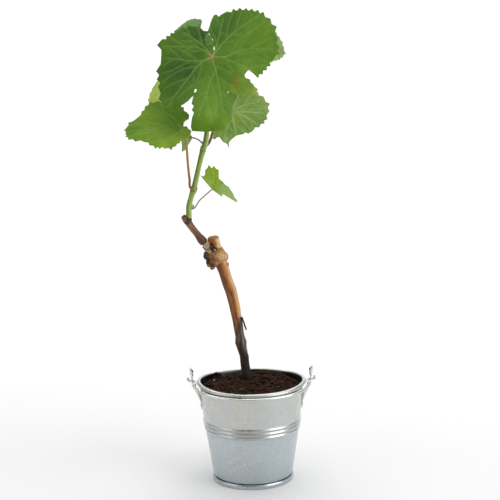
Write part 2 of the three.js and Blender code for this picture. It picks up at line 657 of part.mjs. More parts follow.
add('rootstock', rootstock(), WAXED_BARK);
add('graft_knot', graftKnot(), CALLUS);
add('rootstock_stub', limb(STUB, 12, 2), WAX);
add('cane', limb(CANE, 10, 2), CANE_BARK);
add('shoot_lower', cut(limb(SHOOT_LOWER, 8, 2), roomFor(CANE, 10)), GREEN_STEM);
add('shoot_upper', cut(limb(SHOOT_UPPER, 8, 2), roomFor(SHOOT_LOWER, 8)), GREEN_STEM);

Object.entries(LEAVES).forEach(([name, leaf]) => {
  add(name, leafSolid(leaf), leaf.finish);
});

export default group;
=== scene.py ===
# %% [markdown]
# # A young grafted grapevine in a zinc bucket
# The imported model already gives every piece its place and its real size. This lesson loads it as a fixed
# frame and then dresses it: each plain solid gets a better finish, or a finer mesh that stands for it.

# %% Load the frame
import math
import random

import bmesh
import bpy
import numpy as np
from mathutils import Matrix, Vector, noise


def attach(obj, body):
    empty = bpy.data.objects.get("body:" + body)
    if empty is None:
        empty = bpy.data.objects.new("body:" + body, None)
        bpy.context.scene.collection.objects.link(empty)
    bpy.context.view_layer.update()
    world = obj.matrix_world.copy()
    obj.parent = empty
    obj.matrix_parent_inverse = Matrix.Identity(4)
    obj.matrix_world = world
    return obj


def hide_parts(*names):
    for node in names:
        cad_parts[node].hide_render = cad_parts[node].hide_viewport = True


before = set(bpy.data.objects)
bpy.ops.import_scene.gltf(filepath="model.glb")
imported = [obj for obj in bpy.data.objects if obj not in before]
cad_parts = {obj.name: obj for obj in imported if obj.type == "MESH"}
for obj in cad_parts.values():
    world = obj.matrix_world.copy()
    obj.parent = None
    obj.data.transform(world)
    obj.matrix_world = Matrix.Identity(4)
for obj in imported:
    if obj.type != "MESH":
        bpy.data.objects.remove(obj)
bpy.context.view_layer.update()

MM = 0.001
scene = bpy.context.scene

# %% [markdown]
# ## Camera
# The plant is looked at from straight in front and slightly above, with a long lens, so that the bucket's
# rim shows as a flat ellipse and the upright lines hardly converge. The camera is tilted about its own
# view axis by one degree. Its place is measured from the bucket's foot, as everything else is.

# %% Camera
def rotation(axis, degrees):
    return Matrix.Rotation(math.radians(degrees), 4, axis)


camera_data = bpy.data.cameras.new("camera")
camera_data.lens = 72
camera_data.sensor_width = 36
camera = bpy.data.objects.new("camera", camera_data)
scene.collection.objects.link(camera)
look_down = rotation("Z", -0.065) @ rotation("X", 90 - 7.059) @ rotation("Z", -1.1)
camera.matrix_world = Matrix.Translation((0, -0.791, 0.28456)) @ look_down
scene.camera = camera
print("camera at", [round(value, 3) for value in camera.location])

# %% [markdown]
# ## Working by hand in code
# An operator acts on whatever is selected, so each piece starts with nothing selected. In edit mode, faces
# and edges are picked by where their middle lies. Two more jobs come up again and again: turning all faces
# of a closed piece outwards, and joining many small pieces into one.

# %% Helpers for picking
def deselect_all():
    if bpy.context.object and bpy.context.object.mode != "OBJECT":
        bpy.ops.object.mode_set(mode="OBJECT")
    bpy.ops.object.select_all(action="DESELECT")


def pick(kind, test):
    """In edit mode, selects only the faces or edges whose middle passes a test."""
    mesh = bmesh.from_edit_mesh(bpy.context.object.data)
    bpy.ops.mesh.select_mode(type=kind)
    bpy.ops.mesh.select_all(action="DESELECT")
    chosen = 0
    for element in mesh.faces if kind == "FACE" else mesh.edges:
        corners = [vertex.co for vertex in element.verts]
        middle = sum(corners, Vector()) / len(corners)
        if test(middle):
            element.select_set(True)
            chosen += 1
    bmesh.update_edit_mesh(bpy.context.object.data)
    return chosen


def make_active(piece):
    deselect_all()
    piece.select_set(True)
    bpy.context.view_layer.objects.active = piece


def face_outward(piece):
    make_active(piece)
    bpy.ops.object.mode_set(mode="EDIT")
    bpy.ops.mesh.select_all(action="SELECT")
    bpy.ops.mesh.normals_make_consistent(inside=False)
    bpy.ops.object.mode_set(mode="OBJECT")


def join_all(pieces, name):
    """Joins pieces into the first of them."""
    make_active(pieces[0])
    for piece in pieces:
        piece.select_set(True)
    bpy.ops.object.join()
    pieces[0].name = name
    return pieces[0]


# %% [markdown]
# ## Floor
# The floor is one pale sheet that sweeps up behind the plant, as in a small studio, so that no horizon
# shows. It is made from a plane: the far edge is extruded upwards and the corner is bevelled round.

# %% Floor
deselect_all()
bpy.ops.mesh.primitive_plane_add(size=6, location=(0, -1.2, 0))
floor = bpy.context.object
floor.name = "floor"
bpy.ops.object.mode_set(mode="EDIT")
pick("EDGE", lambda middle: middle.y > 2.9)
bpy.ops.mesh.extrude_region_move(TRANSFORM_OT_translate={"value": (0, 0, 4)})
pick("EDGE", lambda middle: middle.y > 2.9 and middle.z < 0.01)
bpy.ops.mesh.bevel(offset=0.9, segments=16, affect="EDGES")
bpy.ops.object.mode_set(mode="OBJECT")
bpy.ops.object.shade_smooth()
print("floor faces:", len(floor.data.polygons))

# %% [markdown]
# ## Building materials
# A finish is a small graph of nodes. Writing each node on one line keeps the graph readable: `place_node`
# adds a node, and fills each input with a plain value or with a link from another node's output.

# %% Helpers for nodes
def place_node(tree, kind, settings=None, **inputs):
    """Adds a node. Inputs are named with underscores for spaces, or in_0, in_1 for their number."""
    made = tree.nodes.new(kind)
    for name, value in (settings or {}).items():
        setattr(made, name, value)
    for name, value in inputs.items():
        key = int(name[3:]) if name.startswith("in_") else name.replace("_", " ")
        socket = made.inputs[key]
        if isinstance(value, bpy.types.NodeSocket):
            tree.links.new(value, socket)
        else:
            socket.default_value = value
    return made


def new_finish(name, **shader_values):
    """A material with its Principled shader set, and its node tree."""
    finish = bpy.data.materials.new(name)
    finish.use_nodes = True
    shader = finish.node_tree.nodes["Principled BSDF"]
    for key, value in shader_values.items():
        shader.inputs[key.replace("_", " ")].default_value = value
    return finish, finish.node_tree, shader


def colour(hexcode):
    """A colour written as on a paint chart, in the linear values that Blender mixes."""
    parts = [int(hexcode[start:start + 2], 16) / 255 for start in (0, 2, 4)]
    return (*[part / 12.92 if part <= 0.04045 else ((part + 0.055) / 1.055) ** 2.4 for part in parts], 1)


def mixed(tree, share, first, second, mode="MIX"):
    """The output of a colour mix: first where share is 0, second where it is 1."""
    node = place_node(tree, "ShaderNodeMix", {"data_type": "RGBA", "blend_type": mode})
    for key, value in ((0, share), (6, first), (7, second)):
        if isinstance(value, bpy.types.NodeSocket):
            tree.links.new(value, node.inputs[key])
        else:
            node.inputs[key].default_value = value
    return node.outputs[2]


def spread(tree, value, low, high, to_low=0.0, to_high=1.0):
    """Maps a value's range from low..high to another range, and clamps it."""
    node = place_node(tree, "ShaderNodeMapRange", Value=value, From_Min=low, From_Max=high,
                      To_Min=to_low, To_Max=to_high)
    return node.outputs["Result"]


def coordinates(tree, name=None, scale=(1, 1, 1)):
    """Object coordinates, or a named attribute of the piece, stretched by a scale."""
    if name:
        source = place_node(tree, "ShaderNodeAttribute", {"attribute_name": name}).outputs["Vector"]
    else:
        source = place_node(tree, "ShaderNodeTexCoord").outputs["Object"]
    return place_node(tree, "ShaderNodeMapping", Vector=source, Scale=scale).outputs["Vector"]


def bumped(tree, shader, height, distance, strength=1.0):
    """Sends a height to the shader's normal through a Bump node."""
    bump = place_node(tree, "ShaderNodeBump", Height=height, Distance=distance, Strength=strength)
    tree.links.new(bump.outputs["Normal"], shader.inputs["Normal"])


print("mid green in linear values:", [round(part, 3) for part in colour("6C9A2C")])

# %% [markdown]
# ## Light
# The light is soft and comes from large panels: one overhead, a strong one far to the right, and a weak one
# to the left that only opens the shadows. One part of the room, in front and a little to the left, is
# darker. The bucket's ribs need that, because bare metal only shows what it reflects.

# %% Light
def light_panel(name, place, target, size, power):
    data = bpy.data.lights.new(name, "AREA")
    data.shape = "RECTANGLE"
    data.size, data.size_y = size
    data.energy = power
    panel = bpy.data.objects.new(name, data)
    scene.collection.objects.link(panel)
    direction = Vector(target) - Vector(place)
    panel.location = place
    panel.rotation_euler = direction.to_track_quat("-Z", "Y").to_euler()
    return panel


light_panel("panel_overhead", (0.1, -0.3, 1.5), (0, 0, 0.2), (1.6, 1.4), 9)
light_panel("panel_left", (-1.6, -0.7, 0.7), (0, 0, 0.2), (1.2, 1.4), 4)
light_panel("panel_right", (1.45, -0.85, 0.55), (0, 0, 0.2), (1.3, 1.3), 15)
light_panel("panel_backdrop", (0, 0.9, 1.6), (0, 1.6, 0.3), (3.0, 1.0), 26)
room = bpy.data.worlds.new("room")
room.use_nodes = True
sky = room.node_tree.nodes["Background"]
sky.inputs["Color"].default_value = (1.0, 1.0, 1.0, 1)
tree = room.node_tree
towards = place_node(tree, "ShaderNodeTexCoord").outputs["Generated"]
facing = place_node(tree, "ShaderNodeVectorMath", {"operation": "DOT_PRODUCT"},
                    in_0=towards, in_1=(-0.2, -0.96, 0.2)).outputs["Value"]
ROOM_STRENGTH, DARK_CORNER_STRENGTH = 0.42, 0.1
strength = spread(tree, facing, 0.86, 0.93, ROOM_STRENGTH, DARK_CORNER_STRENGTH)
tree.links.new(strength, sky.inputs["Strength"])
scene.world = room
scene.view_settings.view_transform = "Standard"

# %% [markdown]
# Nearly every finish here is uneven in the same way: a slow change of tone over a few millimetres, and a
# finer grain inside it. That is a node group with its own inputs, built once and used by zinc, bark, soil
# and leaves with their own sizes.

# %% Node group: mottle
def group_tree(name, inputs, outputs):
    tree = bpy.data.node_groups.new(name, "ShaderNodeTree")
    for label, kind, value in inputs:
        socket = tree.interface.new_socket(label, in_out="INPUT", socket_type=kind)
        if value is not None:
            socket.default_value = value
    for label, kind in outputs:
        tree.interface.new_socket(label, in_out="OUTPUT", socket_type=kind)
    return tree, tree.nodes.new("NodeGroupInput").outputs, tree.nodes.new("NodeGroupOutput").inputs


def build_mottle():
    tree, given, result = group_tree(
        "mottle",
        [("Vector", "NodeSocketVector", None), ("Patch Scale", "NodeSocketFloat", 100.0),
         ("Grain Scale", "NodeSocketFloat", 900.0), ("Grain Share", "NodeSocketFloat", 0.3)],
        [("Mask", "NodeSocketFloat"), ("Grain", "NodeSocketFloat")])
    patches = place_node(tree, "ShaderNodeTexNoise", Vector=given["Vector"], Scale=given["Patch Scale"],
                         Detail=3.0, Roughness=0.55, Distortion=0.4).outputs["Fac"]
    grain = place_node(tree, "ShaderNodeTexNoise", Vector=given["Vector"], Scale=given["Grain Scale"],
                       Detail=4.0, Roughness=0.6).outputs["Fac"]
    blend = place_node(tree, "ShaderNodeMix", {"data_type": "FLOAT"})
    for key, value in ((0, given["Grain Share"]), (2, patches), (3, grain)):
        tree.links.new(value, blend.inputs[key])
    tree.links.new(spread(tree, blend.outputs[0], 0.36, 0.64), result["Mask"])
    tree.links.new(grain, result["Grain"])
    return tree


MOTTLE = build_mottle()


def mottle(tree, vector, patch_scale, grain_scale, grain_share=0.3):
    return place_node(tree, "ShaderNodeGroup", {"node_tree": MOTTLE}, Vector=vector,
                      Patch_Scale=patch_scale, Grain_Scale=grain_scale, Grain_Share=grain_share).outputs


print("mottle group:", len(MOTTLE.nodes), "nodes")

# %% [markdown]
# ## Zinc
# Galvanised sheet is grey metal with a faint pattern of frozen zinc crystals, a few millimetres wide,
# and soft cloudy patches, some warmer and some bluer. The crystals are Voronoi cells that each shift the
# grey a little, and they also change the gloss. Only bare metal is fully metallic in the shader. Where a
# piece carries an attribute of painted shade, its colour turns nearly black there: painted shade in
# recesses.

# %% Zinc finish
def zinc_finish(name, warm, cool, roughness):
    finish, tree, shader = new_finish(name, Metallic=1.0)
    place = coordinates(tree)
    clouds = mottle(tree, coordinates(tree, scale=(1, 1, 0.55)), 60.0, 520.0, 0.3)
    crystals = place_node(tree, "ShaderNodeTexVoronoi", Vector=place, Scale=330.0, Randomness=1.0)
    crystal_tone = place_node(tree, "ShaderNodeSeparateColor", Color=crystals.outputs["Color"]).outputs[0]
    height = place_node(tree, "ShaderNodeSeparateXYZ", Vector=place).outputs["Z"]
    low_down = spread(tree, height, 0.05, 0.036, 0.0, 0.55)
    coolness = place_node(tree, "ShaderNodeMath", {"operation": "ADD", "use_clamp": True},
                          in_0=low_down, in_1=spread(tree, clouds["Mask"], 0.0, 1.0, 0.0, 0.5))
    sheet = mixed(tree, coolness.outputs[0], warm, cool)
    shift = spread(tree, crystal_tone, 0.0, 1.0, 0.965, 1.03)
    shifted = place_node(tree, "ShaderNodeVectorMath", {"operation": "SCALE"}, in_0=sheet)
    tree.links.new(shift, shifted.inputs["Scale"])
    # Painted shade: the sheet's colour goes nearly black where the painted shade attribute is set.
    painted_shade = place_node(tree, "ShaderNodeAttribute", {"attribute_name": "painted_shade"}).outputs["Fac"]
    tree.links.new(mixed(tree, painted_shade, shifted.outputs[0], colour("181614")), shader.inputs["Base Color"])
    gloss = place_node(tree, "ShaderNodeMath", {"operation": "ADD"},
                       in_0=spread(tree, crystal_tone, 0.0, 1.0, -0.015, 0.015),
                       in_1=spread(tree, clouds["Mask"], 0.0, 1.0, roughness - 0.04, roughness + 0.06))
    tree.links.new(gloss.outputs[0], shader.inputs["Roughness"])
    bumped(tree, shader, clouds["Grain"], 0.00004)
    return finish


ZINC = zinc_finish("zinc", colour("C6C5BF"), colour("BAC4C9"), 0.29)
BRIGHT_ZINC = zinc_finish("bright_zinc", colour("D6D6D2"), colour("CDD2D4"), 0.2)
print("zinc finishes:", ZINC.name, BRIGHT_ZINC.name)

# %% [markdown]
# ## Bucket
# A pail like this is one sheet rolled into a cone: a hem at the foot, three ribs that stiffen it, and an
# edge that is rolled over a wire. It is made as a person would make it: a flat disc is extruded ring by
# ring, up the outside, over the rolled edge and down the inside, and each new ring is resized to its
# radius. The ribs and the roll are worked out from their sizes. Last, the rim is lifted a little at the two
# ears, where the bail pulls on it.

# %% Bucket sizes, in millimetres
BUCKET_HEIGHT = 80
SHEET = 0.8
FOOT_RADIUS, HEM_RADIUS, HEM_HEIGHT = 32.2, 33.1, 3.9
LOWER_WALL = ((4.9, 32.3), (41.7, 38))
UPPER_WALL = ((51, 39.3), (76.8, 41.6))
RIB_COUNT, RIB_DEPTH = 3, 0.8
RIM_LIFT, RIM_LIFT_FROM = 1.9, 70
BEAD_RADIUS, BEAD_CENTRE = 1.6, 42.6
BUCKET_SEGMENTS = 160


def between(low, high, share):
    return low + (high - low) * share


def step_up(low, high, value):
    """0 up to low, 1 from high on, and a smooth rise between them. With low above high it is a fall."""
    share = max(0.0, min(1.0, (value - low) / (high - low)))
    return share * share * (3 - 2 * share)


def wall_radius(height):
    """The outer radius of the bucket's wall at a height, ribs included."""
    if height <= LOWER_WALL[1][0]:
        share = (height - LOWER_WALL[0][0]) / (LOWER_WALL[1][0] - LOWER_WALL[0][0])
        return between(LOWER_WALL[0][1], LOWER_WALL[1][1], share)
    if height >= UPPER_WALL[0][0]:
        share = (height - UPPER_WALL[0][0]) / (UPPER_WALL[1][0] - UPPER_WALL[0][0])
        return between(UPPER_WALL[0][1], UPPER_WALL[1][1], share)
    share = (height - LOWER_WALL[1][0]) / (UPPER_WALL[0][0] - LOWER_WALL[1][0])
    swell = RIB_DEPTH * math.sin(math.pi * RIB_COUNT * share) ** 2
    return between(LOWER_WALL[1][1], UPPER_WALL[0][1], share) + swell


print("wall radius at half height:", round(wall_radius(BUCKET_HEIGHT / 2), 1), "mm")

# %% Bucket profile: radius and height of each ring
def bucket_rings():
    rings = [(29.6, 0), (29.9, 0.4), (30.5, 0.4), (30.9, 0), (FOOT_RADIUS, 0)]
    for step in range(1, 10):
        turn = math.pi * step / 10
        bulge = (HEM_RADIUS - FOOT_RADIUS) * math.sin(turn) ** 0.6
        rings.append((FOOT_RADIUS + bulge, HEM_HEIGHT * (1 - math.cos(turn)) / 2))
    rings.append((31.9, HEM_HEIGHT + 0.05))
    rings.append((31.95, HEM_HEIGHT + 0.5))
    lower = [LOWER_WALL[0][0] + step * 4.5 for step in range(8)]
    ribs = [between(LOWER_WALL[1][0], UPPER_WALL[0][0], step / 30) for step in range(31)]
    upper = [UPPER_WALL[0][0] + step * 4.3 for step in range(1, 6)] + [74.6, 75.3, 76.2]
    rings += [(wall_radius(height), height) for height in lower + ribs + upper]
    for angle in range(-120, 121, 15):
        turn = math.radians(angle)
        height = BUCKET_HEIGHT - BEAD_RADIUS + BEAD_RADIUS * math.sin(turn)
        rings.append((BEAD_CENTRE + BEAD_RADIUS * math.cos(turn), height))
    rings += [(41.45, 79.5), (41.2, 79), (41, 78)]
    down = [76.8, 72, 64, 56, 51, 41.7, 30, 18, 8]
    rings += [(wall_radius(height) - SHEET, height) for height in down]
    rings += [(31.6, 2), (30.6, 1.2)]
    return rings


def painted_shade_at(radius, height, side):
    """Painted shade: dark inside below the rim, outside under its roll (most on the left), and over the hem.
    """
    if height > 1 and radius < wall_radius(height) - SHEET / 2:
        return 0.88 if height < 79.2 else 0.0
    if 75 < height < 77.5 - 0.55 * side:
        return 0.97
    return 0.75 if HEM_HEIGHT <= height < HEM_HEIGHT + 0.6 else 0.0


rings = bucket_rings()
deselect_all()
bpy.ops.mesh.primitive_circle_add(vertices=BUCKET_SEGMENTS, radius=rings[0][0] * MM, fill_type="NGON")
bucket = bpy.context.object
bucket.name = "bucket_sheet"
bpy.ops.object.mode_set(mode="EDIT")
bpy.ops.mesh.select_all(action="SELECT")
for (radius, height), (next_radius, next_height) in zip(rings, rings[1:]):
    bpy.ops.mesh.extrude_region_move(TRANSFORM_OT_translate={"value": (0, 0, (next_height - height) * MM)})
    factor = next_radius / radius
    bpy.ops.transform.resize(value=(factor, factor, 1), center_override=(0, 0, next_height * MM))
bpy.ops.object.mode_set(mode="OBJECT")
face_outward(bucket)
# Painted shade, corner by corner: inside below the rim, outside under the roll, and over the hem.
painted_shade = bucket.data.attributes.new("painted_shade", "FLOAT", "POINT")
for vertex in bucket.data.vertices:
    x, y, z = vertex.co / MM
    radius = math.hypot(x, y)
    painted_shade.data[vertex.index].value = painted_shade_at(radius, z, x / radius)
    lifted = step_up(RIM_LIFT_FROM, UPPER_WALL[1][0], z)
    vertex.co.z += RIM_LIFT * lifted * (abs(x) / radius) ** 4 * MM
print("bucket rings:", len(rings), "faces:", len(bucket.data.polygons))


# %% Finish a piece: smooth it, give it its material, its body and the node that it stands for
def finish_piece(piece, finish, nodes=(), angle=35, body="pot_and_vine"):
    make_active(piece)
    bpy.ops.object.shade_smooth_by_angle(angle=math.radians(angle))
    piece.data.materials.clear()
    for one in finish if isinstance(finish, (list, tuple)) else [finish]:
        piece.data.materials.append(one)
    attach(piece, body)
    if nodes:
        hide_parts(*nodes)


finish_piece(bucket, ZINC, ["bucket"])
print("bucket height:", round(bucket.dimensions.z / MM, 1), "mm")

# %% [markdown]
# A sheet that is rolled into a cone has to meet itself somewhere. On a pail the two edges hook into each
# other and are pressed flat, which leaves a narrow raised band from hem to rim, here at the back. It is a
# strip of faces that follows the wall, ribs and all, given its thickness by Solidify.

# %% Seam of the bucket
SEAM_HALF_WIDTH, SEAM_DEPTH = 2.2, 0.35
SEAM_FOOT, SEAM_STEP = 5, 0.6
seam_heights = [SEAM_FOOT + step * SEAM_STEP for step in range(119)]
deselect_all()
bpy.ops.mesh.primitive_grid_add(x_subdivisions=4, y_subdivisions=len(seam_heights) - 1, size=2)
seam = bpy.context.object
seam.name = "bucket_seam"
for vertex in seam.data.vertices:
    height = seam_heights[round((vertex.co.y + 1) / 2 * (len(seam_heights) - 1))]
    radius = wall_radius(height) - 0.05
    turn = math.pi / 2 + vertex.co.x * SEAM_HALF_WIDTH / radius
    vertex.co = Vector((radius * math.cos(turn), radius * math.sin(turn), height)) * MM
face_outward(seam)
middle_face = seam.data.polygons[len(seam.data.polygons) // 2]
outward = 1 if middle_face.normal.y > 0 else -1
thick = seam.modifiers.new("thickness", "SOLIDIFY")
thick.thickness, thick.offset = SEAM_DEPTH * MM, outward
bpy.ops.object.modifier_apply(modifier="thickness")
finish_piece(seam, ZINC, angle=30)
print("seam faces:", len(seam.data.polygons))

# %% [markdown]
# ## Shapes that follow a curve
# The wire, the stem and every leaf stalk are one kind of thing: a round limb that follows a smooth curve
# through a few stations, each with its own radius. A sphere is the best start for it, because a sphere is
# already closed at both ends. Its rings are moved along the curve and its poles become the two ends.
# The curve is the same one that the solids use, a Catmull-Rom curve with uneven steps.

# %% Helpers for limbs
def smooth_curve(points, share):
    """The point at share 0..1 of a centripetal Catmull-Rom curve, and the direction there."""
    spans = len(points) - 1
    span = min(int(share * spans), spans - 1)
    weight = share * spans - span
    p1, p2 = points[span], points[span + 1]
    p0 = points[span - 1] if span > 0 else 2 * p1 - p2
    p3 = points[span + 2] if span + 2 <= spans else 2 * p2 - p1
    d0, d1, d2 = [max((b - a).length, 1e-4) ** 0.5 for a, b in ((p0, p1), (p1, p2), (p2, p3))]
    start = ((p1 - p0) / d0 - (p2 - p0) / (d0 + d1) + (p2 - p1) / d1) * d1
    end = ((p2 - p1) / d1 - (p3 - p1) / (d1 + d2) + (p3 - p2) / d2) * d1
    c2 = 3 * (p2 - p1) - 2 * start - end
    c3 = 2 * (p1 - p2) + start + end
    place = p1 + start * weight + c2 * weight ** 2 + c3 * weight ** 3
    return place, (start + 2 * c2 * weight + 3 * c3 * weight ** 2).normalized()


def limb_frames(stations, steps):
    """Rings along a limb: centre, two directions across it, radius, and distance from the start."""
    points = [Vector(station[:3]) for station in stations]
    spans = len(points) - 1
    across = Vector((0, 1, 0))
    rings, travelled, last = [], 0.0, None
    for step in range(steps + 1):
        share = step / steps
        centre, tangent = smooth_curve(points, share)
        across = (across - tangent * across.dot(tangent)).normalized()
        span = min(int(share * spans), spans - 1)
        radius = between(stations[span][3], stations[span + 1][3], share * spans - span)
        travelled += (centre - last).length if last else 0
        rings.append((centre, across.copy(), across.cross(tangent), radius, travelled))
        last = centre
    return rings


def limb(name, stations, sides=16, steps=40, relief=None):
    """A closed limb. Relief gives the change of radius at (turn in radians, distance, place)."""
    deselect_all()
    bpy.ops.mesh.primitive_uv_sphere_add(segments=sides, ring_count=steps + 2, radius=1)
    piece = bpy.context.object
    piece.name = name
    rings = limb_frames(stations, steps)
    grain = piece.data.attributes.new("grain", "FLOAT_VECTOR", "POINT")
    for vertex in piece.data.vertices:
        x, y, z = vertex.co
        ring = round(math.acos(max(-1, min(1, z))) / math.pi * (steps + 2)) - 1
        pole = ring < 0 or ring > steps
        centre, first, second, radius, distance = rings[max(0, min(steps, ring))]
        turn = math.atan2(y, x)
        if pole:
            vertex.co = centre * MM
            grain.data[vertex.index].vector = (0, 0, distance * MM)
            continue
        if relief:
            radius += relief(turn, distance, centre)
        spoke = first * math.cos(turn) + second * math.sin(turn)
        vertex.co = (centre + spoke * radius) * MM
        grain.data[vertex.index].vector = (
            radius * math.cos(turn) * MM, radius * math.sin(turn) * MM, distance * MM)
    face_outward(piece)
    return piece


middle_of_arch = smooth_curve([Vector((-1, 0, 0)), Vector((0, 0, 1)), Vector((1, 0, 0))], 0.25)[0]
print("a quarter along a small arch:", [round(part, 2) for part in middle_of_arch])

# %% [markdown]
# ## Ears and bail
# Each ear is a strap of the same sheet, riveted to the wall, that stands off the rim and ends in a folded
# point above its hole. A flat grid is laid along its stations, its edges are folded out near the top, and
# Solidify and Bevel make it sheet metal. A short cylinder cuts the hole with a Boolean.

# %% Ear
PIVOT_HEIGHT = 80.8
EAR_OFFSET = 47.7
EAR_SHEET = 0.7
EAR_HOLE_RADIUS = 1.55
RIVET_PLACE, RIVET_HALF = (41.1, 0, 60.2), (0.8, 1.3, 1.3)
EAR_STATIONS = [
    # distance from the axis, height, half width along the rim, how far the edges fold out
    (40.55, 57, 1.2, 0), (40.75, 59, 4.2, -0.2), (41.1, 62.5, 4.6, -0.25), (44.4, 70, 4.6, -2.2),
    (47.6, 77, 4.4, 0.0), (EAR_OFFSET, PIVOT_HEIGHT, 4.5, 0.4), (48.7, 84, 5.0, -1.2),
    (49.5, 87.6, 4.6, -2.2), (49.7, 89.9, 2.8, -1.2), (49.4, 91.8, 0.5, 0),
]


def ear(name, side):
    steps = 64
    spine = [Vector((x, 0, z)) for x, z, _, _ in EAR_STATIONS]
    deselect_all()
    bpy.ops.mesh.primitive_grid_add(x_subdivisions=13, y_subdivisions=steps, size=2)
    piece = bpy.context.object
    piece.name = name
    for vertex in piece.data.vertices:
        share = (vertex.co.y + 1) / 2
        along = share * (len(EAR_STATIONS) - 1)
        span = min(int(along), len(EAR_STATIONS) - 2)
        low, high = EAR_STATIONS[span], EAR_STATIONS[span + 1]
        half_width, fold = [between(low[k], high[k], along - span) for k in (2, 3)]
        centre, tangent = smooth_curve(spine, share)
        stand_off = Vector((tangent.z, 0, -tangent.x)) * fold * vertex.co.x ** 2
        vertex.co = (centre + stand_off + Vector((0, vertex.co.x * half_width, 0))) * MM
    thick = piece.modifiers.new("sheet", "SOLIDIFY")
    thick.thickness, thick.offset = EAR_SHEET * MM, 0
    bpy.ops.object.modifier_apply(modifier="sheet")
    bpy.ops.mesh.primitive_cylinder_add(
        vertices=32, radius=EAR_HOLE_RADIUS * MM, depth=8 * MM,
        location=(EAR_OFFSET * MM, 0, PIVOT_HEIGHT * MM), rotation=(0, math.pi / 2, 0))
    drill = bpy.context.object
    deselect_all()
    bpy.context.view_layer.objects.active = piece
    hole = piece.modifiers.new("hole", "BOOLEAN")
    hole.object, hole.operation, hole.solver = drill, "DIFFERENCE", "EXACT"
    bpy.ops.object.modifier_apply(modifier="hole")
    bpy.data.objects.remove(drill)
    edge = piece.modifiers.new("edge", "BEVEL")
    edge.width, edge.segments, edge.limit_method, edge.angle_limit = 0.12 * MM, 2, "ANGLE", math.radians(60)
    bpy.ops.object.modifier_apply(modifier="edge")
    bpy.ops.mesh.primitive_uv_sphere_add(segments=20, ring_count=12, location=Vector(RIVET_PLACE) * MM)
    rivet = bpy.context.object
    rivet.scale = Vector(RIVET_HALF) * MM
    bpy.ops.object.transform_apply(location=True, rotation=True, scale=True)
    piece.select_set(True)
    bpy.context.view_layer.objects.active = piece
    bpy.ops.object.join()
    if side < 0:
        piece.rotation_euler.z = math.pi
        bpy.ops.object.transform_apply(location=True, rotation=True, scale=True)
    return piece


for ear_name, side in (("ear_right", 1), ("ear_left", -1)):
    strap = ear(ear_name + "_strap", side)
    finish_piece(strap, BRIGHT_ZINC, [ear_name], angle=30)
    print(strap.name, "faces:", len(strap.data.polygons))

# %% [markdown]
# The bail is one piece of drawn wire. Each end is bent into a hook that passes through the ear's hole from
# outside, and the wire then runs round the front of the rim, where the bail lies at rest. Its two ends
# are the same list of points, mirrored, and half an ellipse joins them. It rides on its own body, so
# that it swings up about the line through the two holes.

# %% Bail
WIRE_RADIUS = 1.1
BAIL_HEIGHT, BAIL_RISE = 76.4, 1.7
BAIL_HALF_WIDTH, BAIL_DEPTH = 47, 45.8


def bail_stations():
    hook = [
        (EAR_OFFSET + 3.5, 0.2, PIVOT_HEIGHT + 2.6), (EAR_OFFSET + 3.7, 0, PIVOT_HEIGHT + 0.8),
        (EAR_OFFSET + 2.7, 0, PIVOT_HEIGHT), (EAR_OFFSET, 0, PIVOT_HEIGHT),
        (EAR_OFFSET - 1.6, -0.3, PIVOT_HEIGHT - 0.2), (EAR_OFFSET - 2.1, -2, PIVOT_HEIGHT - 1.6),
        (EAR_OFFSET - 1.9, -4.2, BAIL_HEIGHT + BAIL_RISE),
    ]
    bow = []
    for step in range(1, 18):
        turn = math.pi * step / 18
        height = BAIL_HEIGHT + BAIL_RISE * (1 - math.sin(turn))
        bow.append((BAIL_HALF_WIDTH * math.cos(turn), -BAIL_DEPTH * math.sin(turn), height))
    far_hook = [(-x, y, z) for x, y, z in reversed(hook)]
    return [(*point, WIRE_RADIUS * 0.97) for point in hook + bow + far_hook]


bail = limb("bail_wire", bail_stations(), sides=16, steps=300)
finish_piece(bail, BRIGHT_ZINC, ["bail"], angle=40, body="bail")
print("bail faces:", len(bail.data.polygons))

# %% [markdown]
# ## Soil
# Potting peat is dark, crumbly and never flat. The ground is a disc of many rings: its outer rings go down
# inside the wall to the bucket's floor, and the top is raised by layers of noise and by a low mound round
# the vine's foot. Loose crumbs, a few pale chips and some fibres then lie on it. Crumbs are copies of one
# twenty-sided ball, each turned, squashed and scaled on its own, and joined into one mesh.

# %% Soil finish
def soil_finish(name, dark, light, red, chips):
    finish, tree, shader = new_finish(name, Roughness=0.9, Specular_IOR_Level=0.15)
    place = coordinates(tree)
    clods = mottle(tree, place, 330.0, 1700.0, 0.5)
    earth = mixed(tree, spread(tree, clods["Mask"], 0.25, 0.95), dark, light)
    rusty = place_node(tree, "ShaderNodeTexNoise", Vector=place, Scale=210.0, Detail=2.0).outputs["Fac"]
    earth = mixed(tree, spread(tree, rusty, 0.52, 0.66, 0.0, 0.6), earth, red)
    specks = place_node(tree, "ShaderNodeTexVoronoi", Vector=place, Scale=620.0).outputs["Distance"]
    speck_share = spread(tree, specks, 0.16, 0.1, 0.0, chips)
    tree.links.new(mixed(tree, speck_share, earth, colour("8A7460")), shader.inputs["Base Color"])
    bumped(tree, shader, clods["Grain"], 0.0006)
    return finish


SOIL = soil_finish("soil", colour("090503"), colour("463020"), colour("46240F"), 0.3)
PALE_CHIP = soil_finish("pale_chip", colour("7A6C5E"), colour("B5AA9C"), colour("A08C78"), 0.0)
FIBRE = soil_finish("peat_fibre", colour("5A3420"), colour("8A5A38"), colour("7A4428"), 0.0)

# %% Ground
SOIL_LEVEL, SOIL_MOUND, SOIL_LIMIT = 76.4, 79, 79.6
FOOT = Vector((-4, 13.5, 0))  # where the vine leaves the soil
HEAPS = [  # place, height, half widths
    (15, 33, 2.1, 15, 11), (-28.5, 25.5, 3.4, 3.4, 3),
]


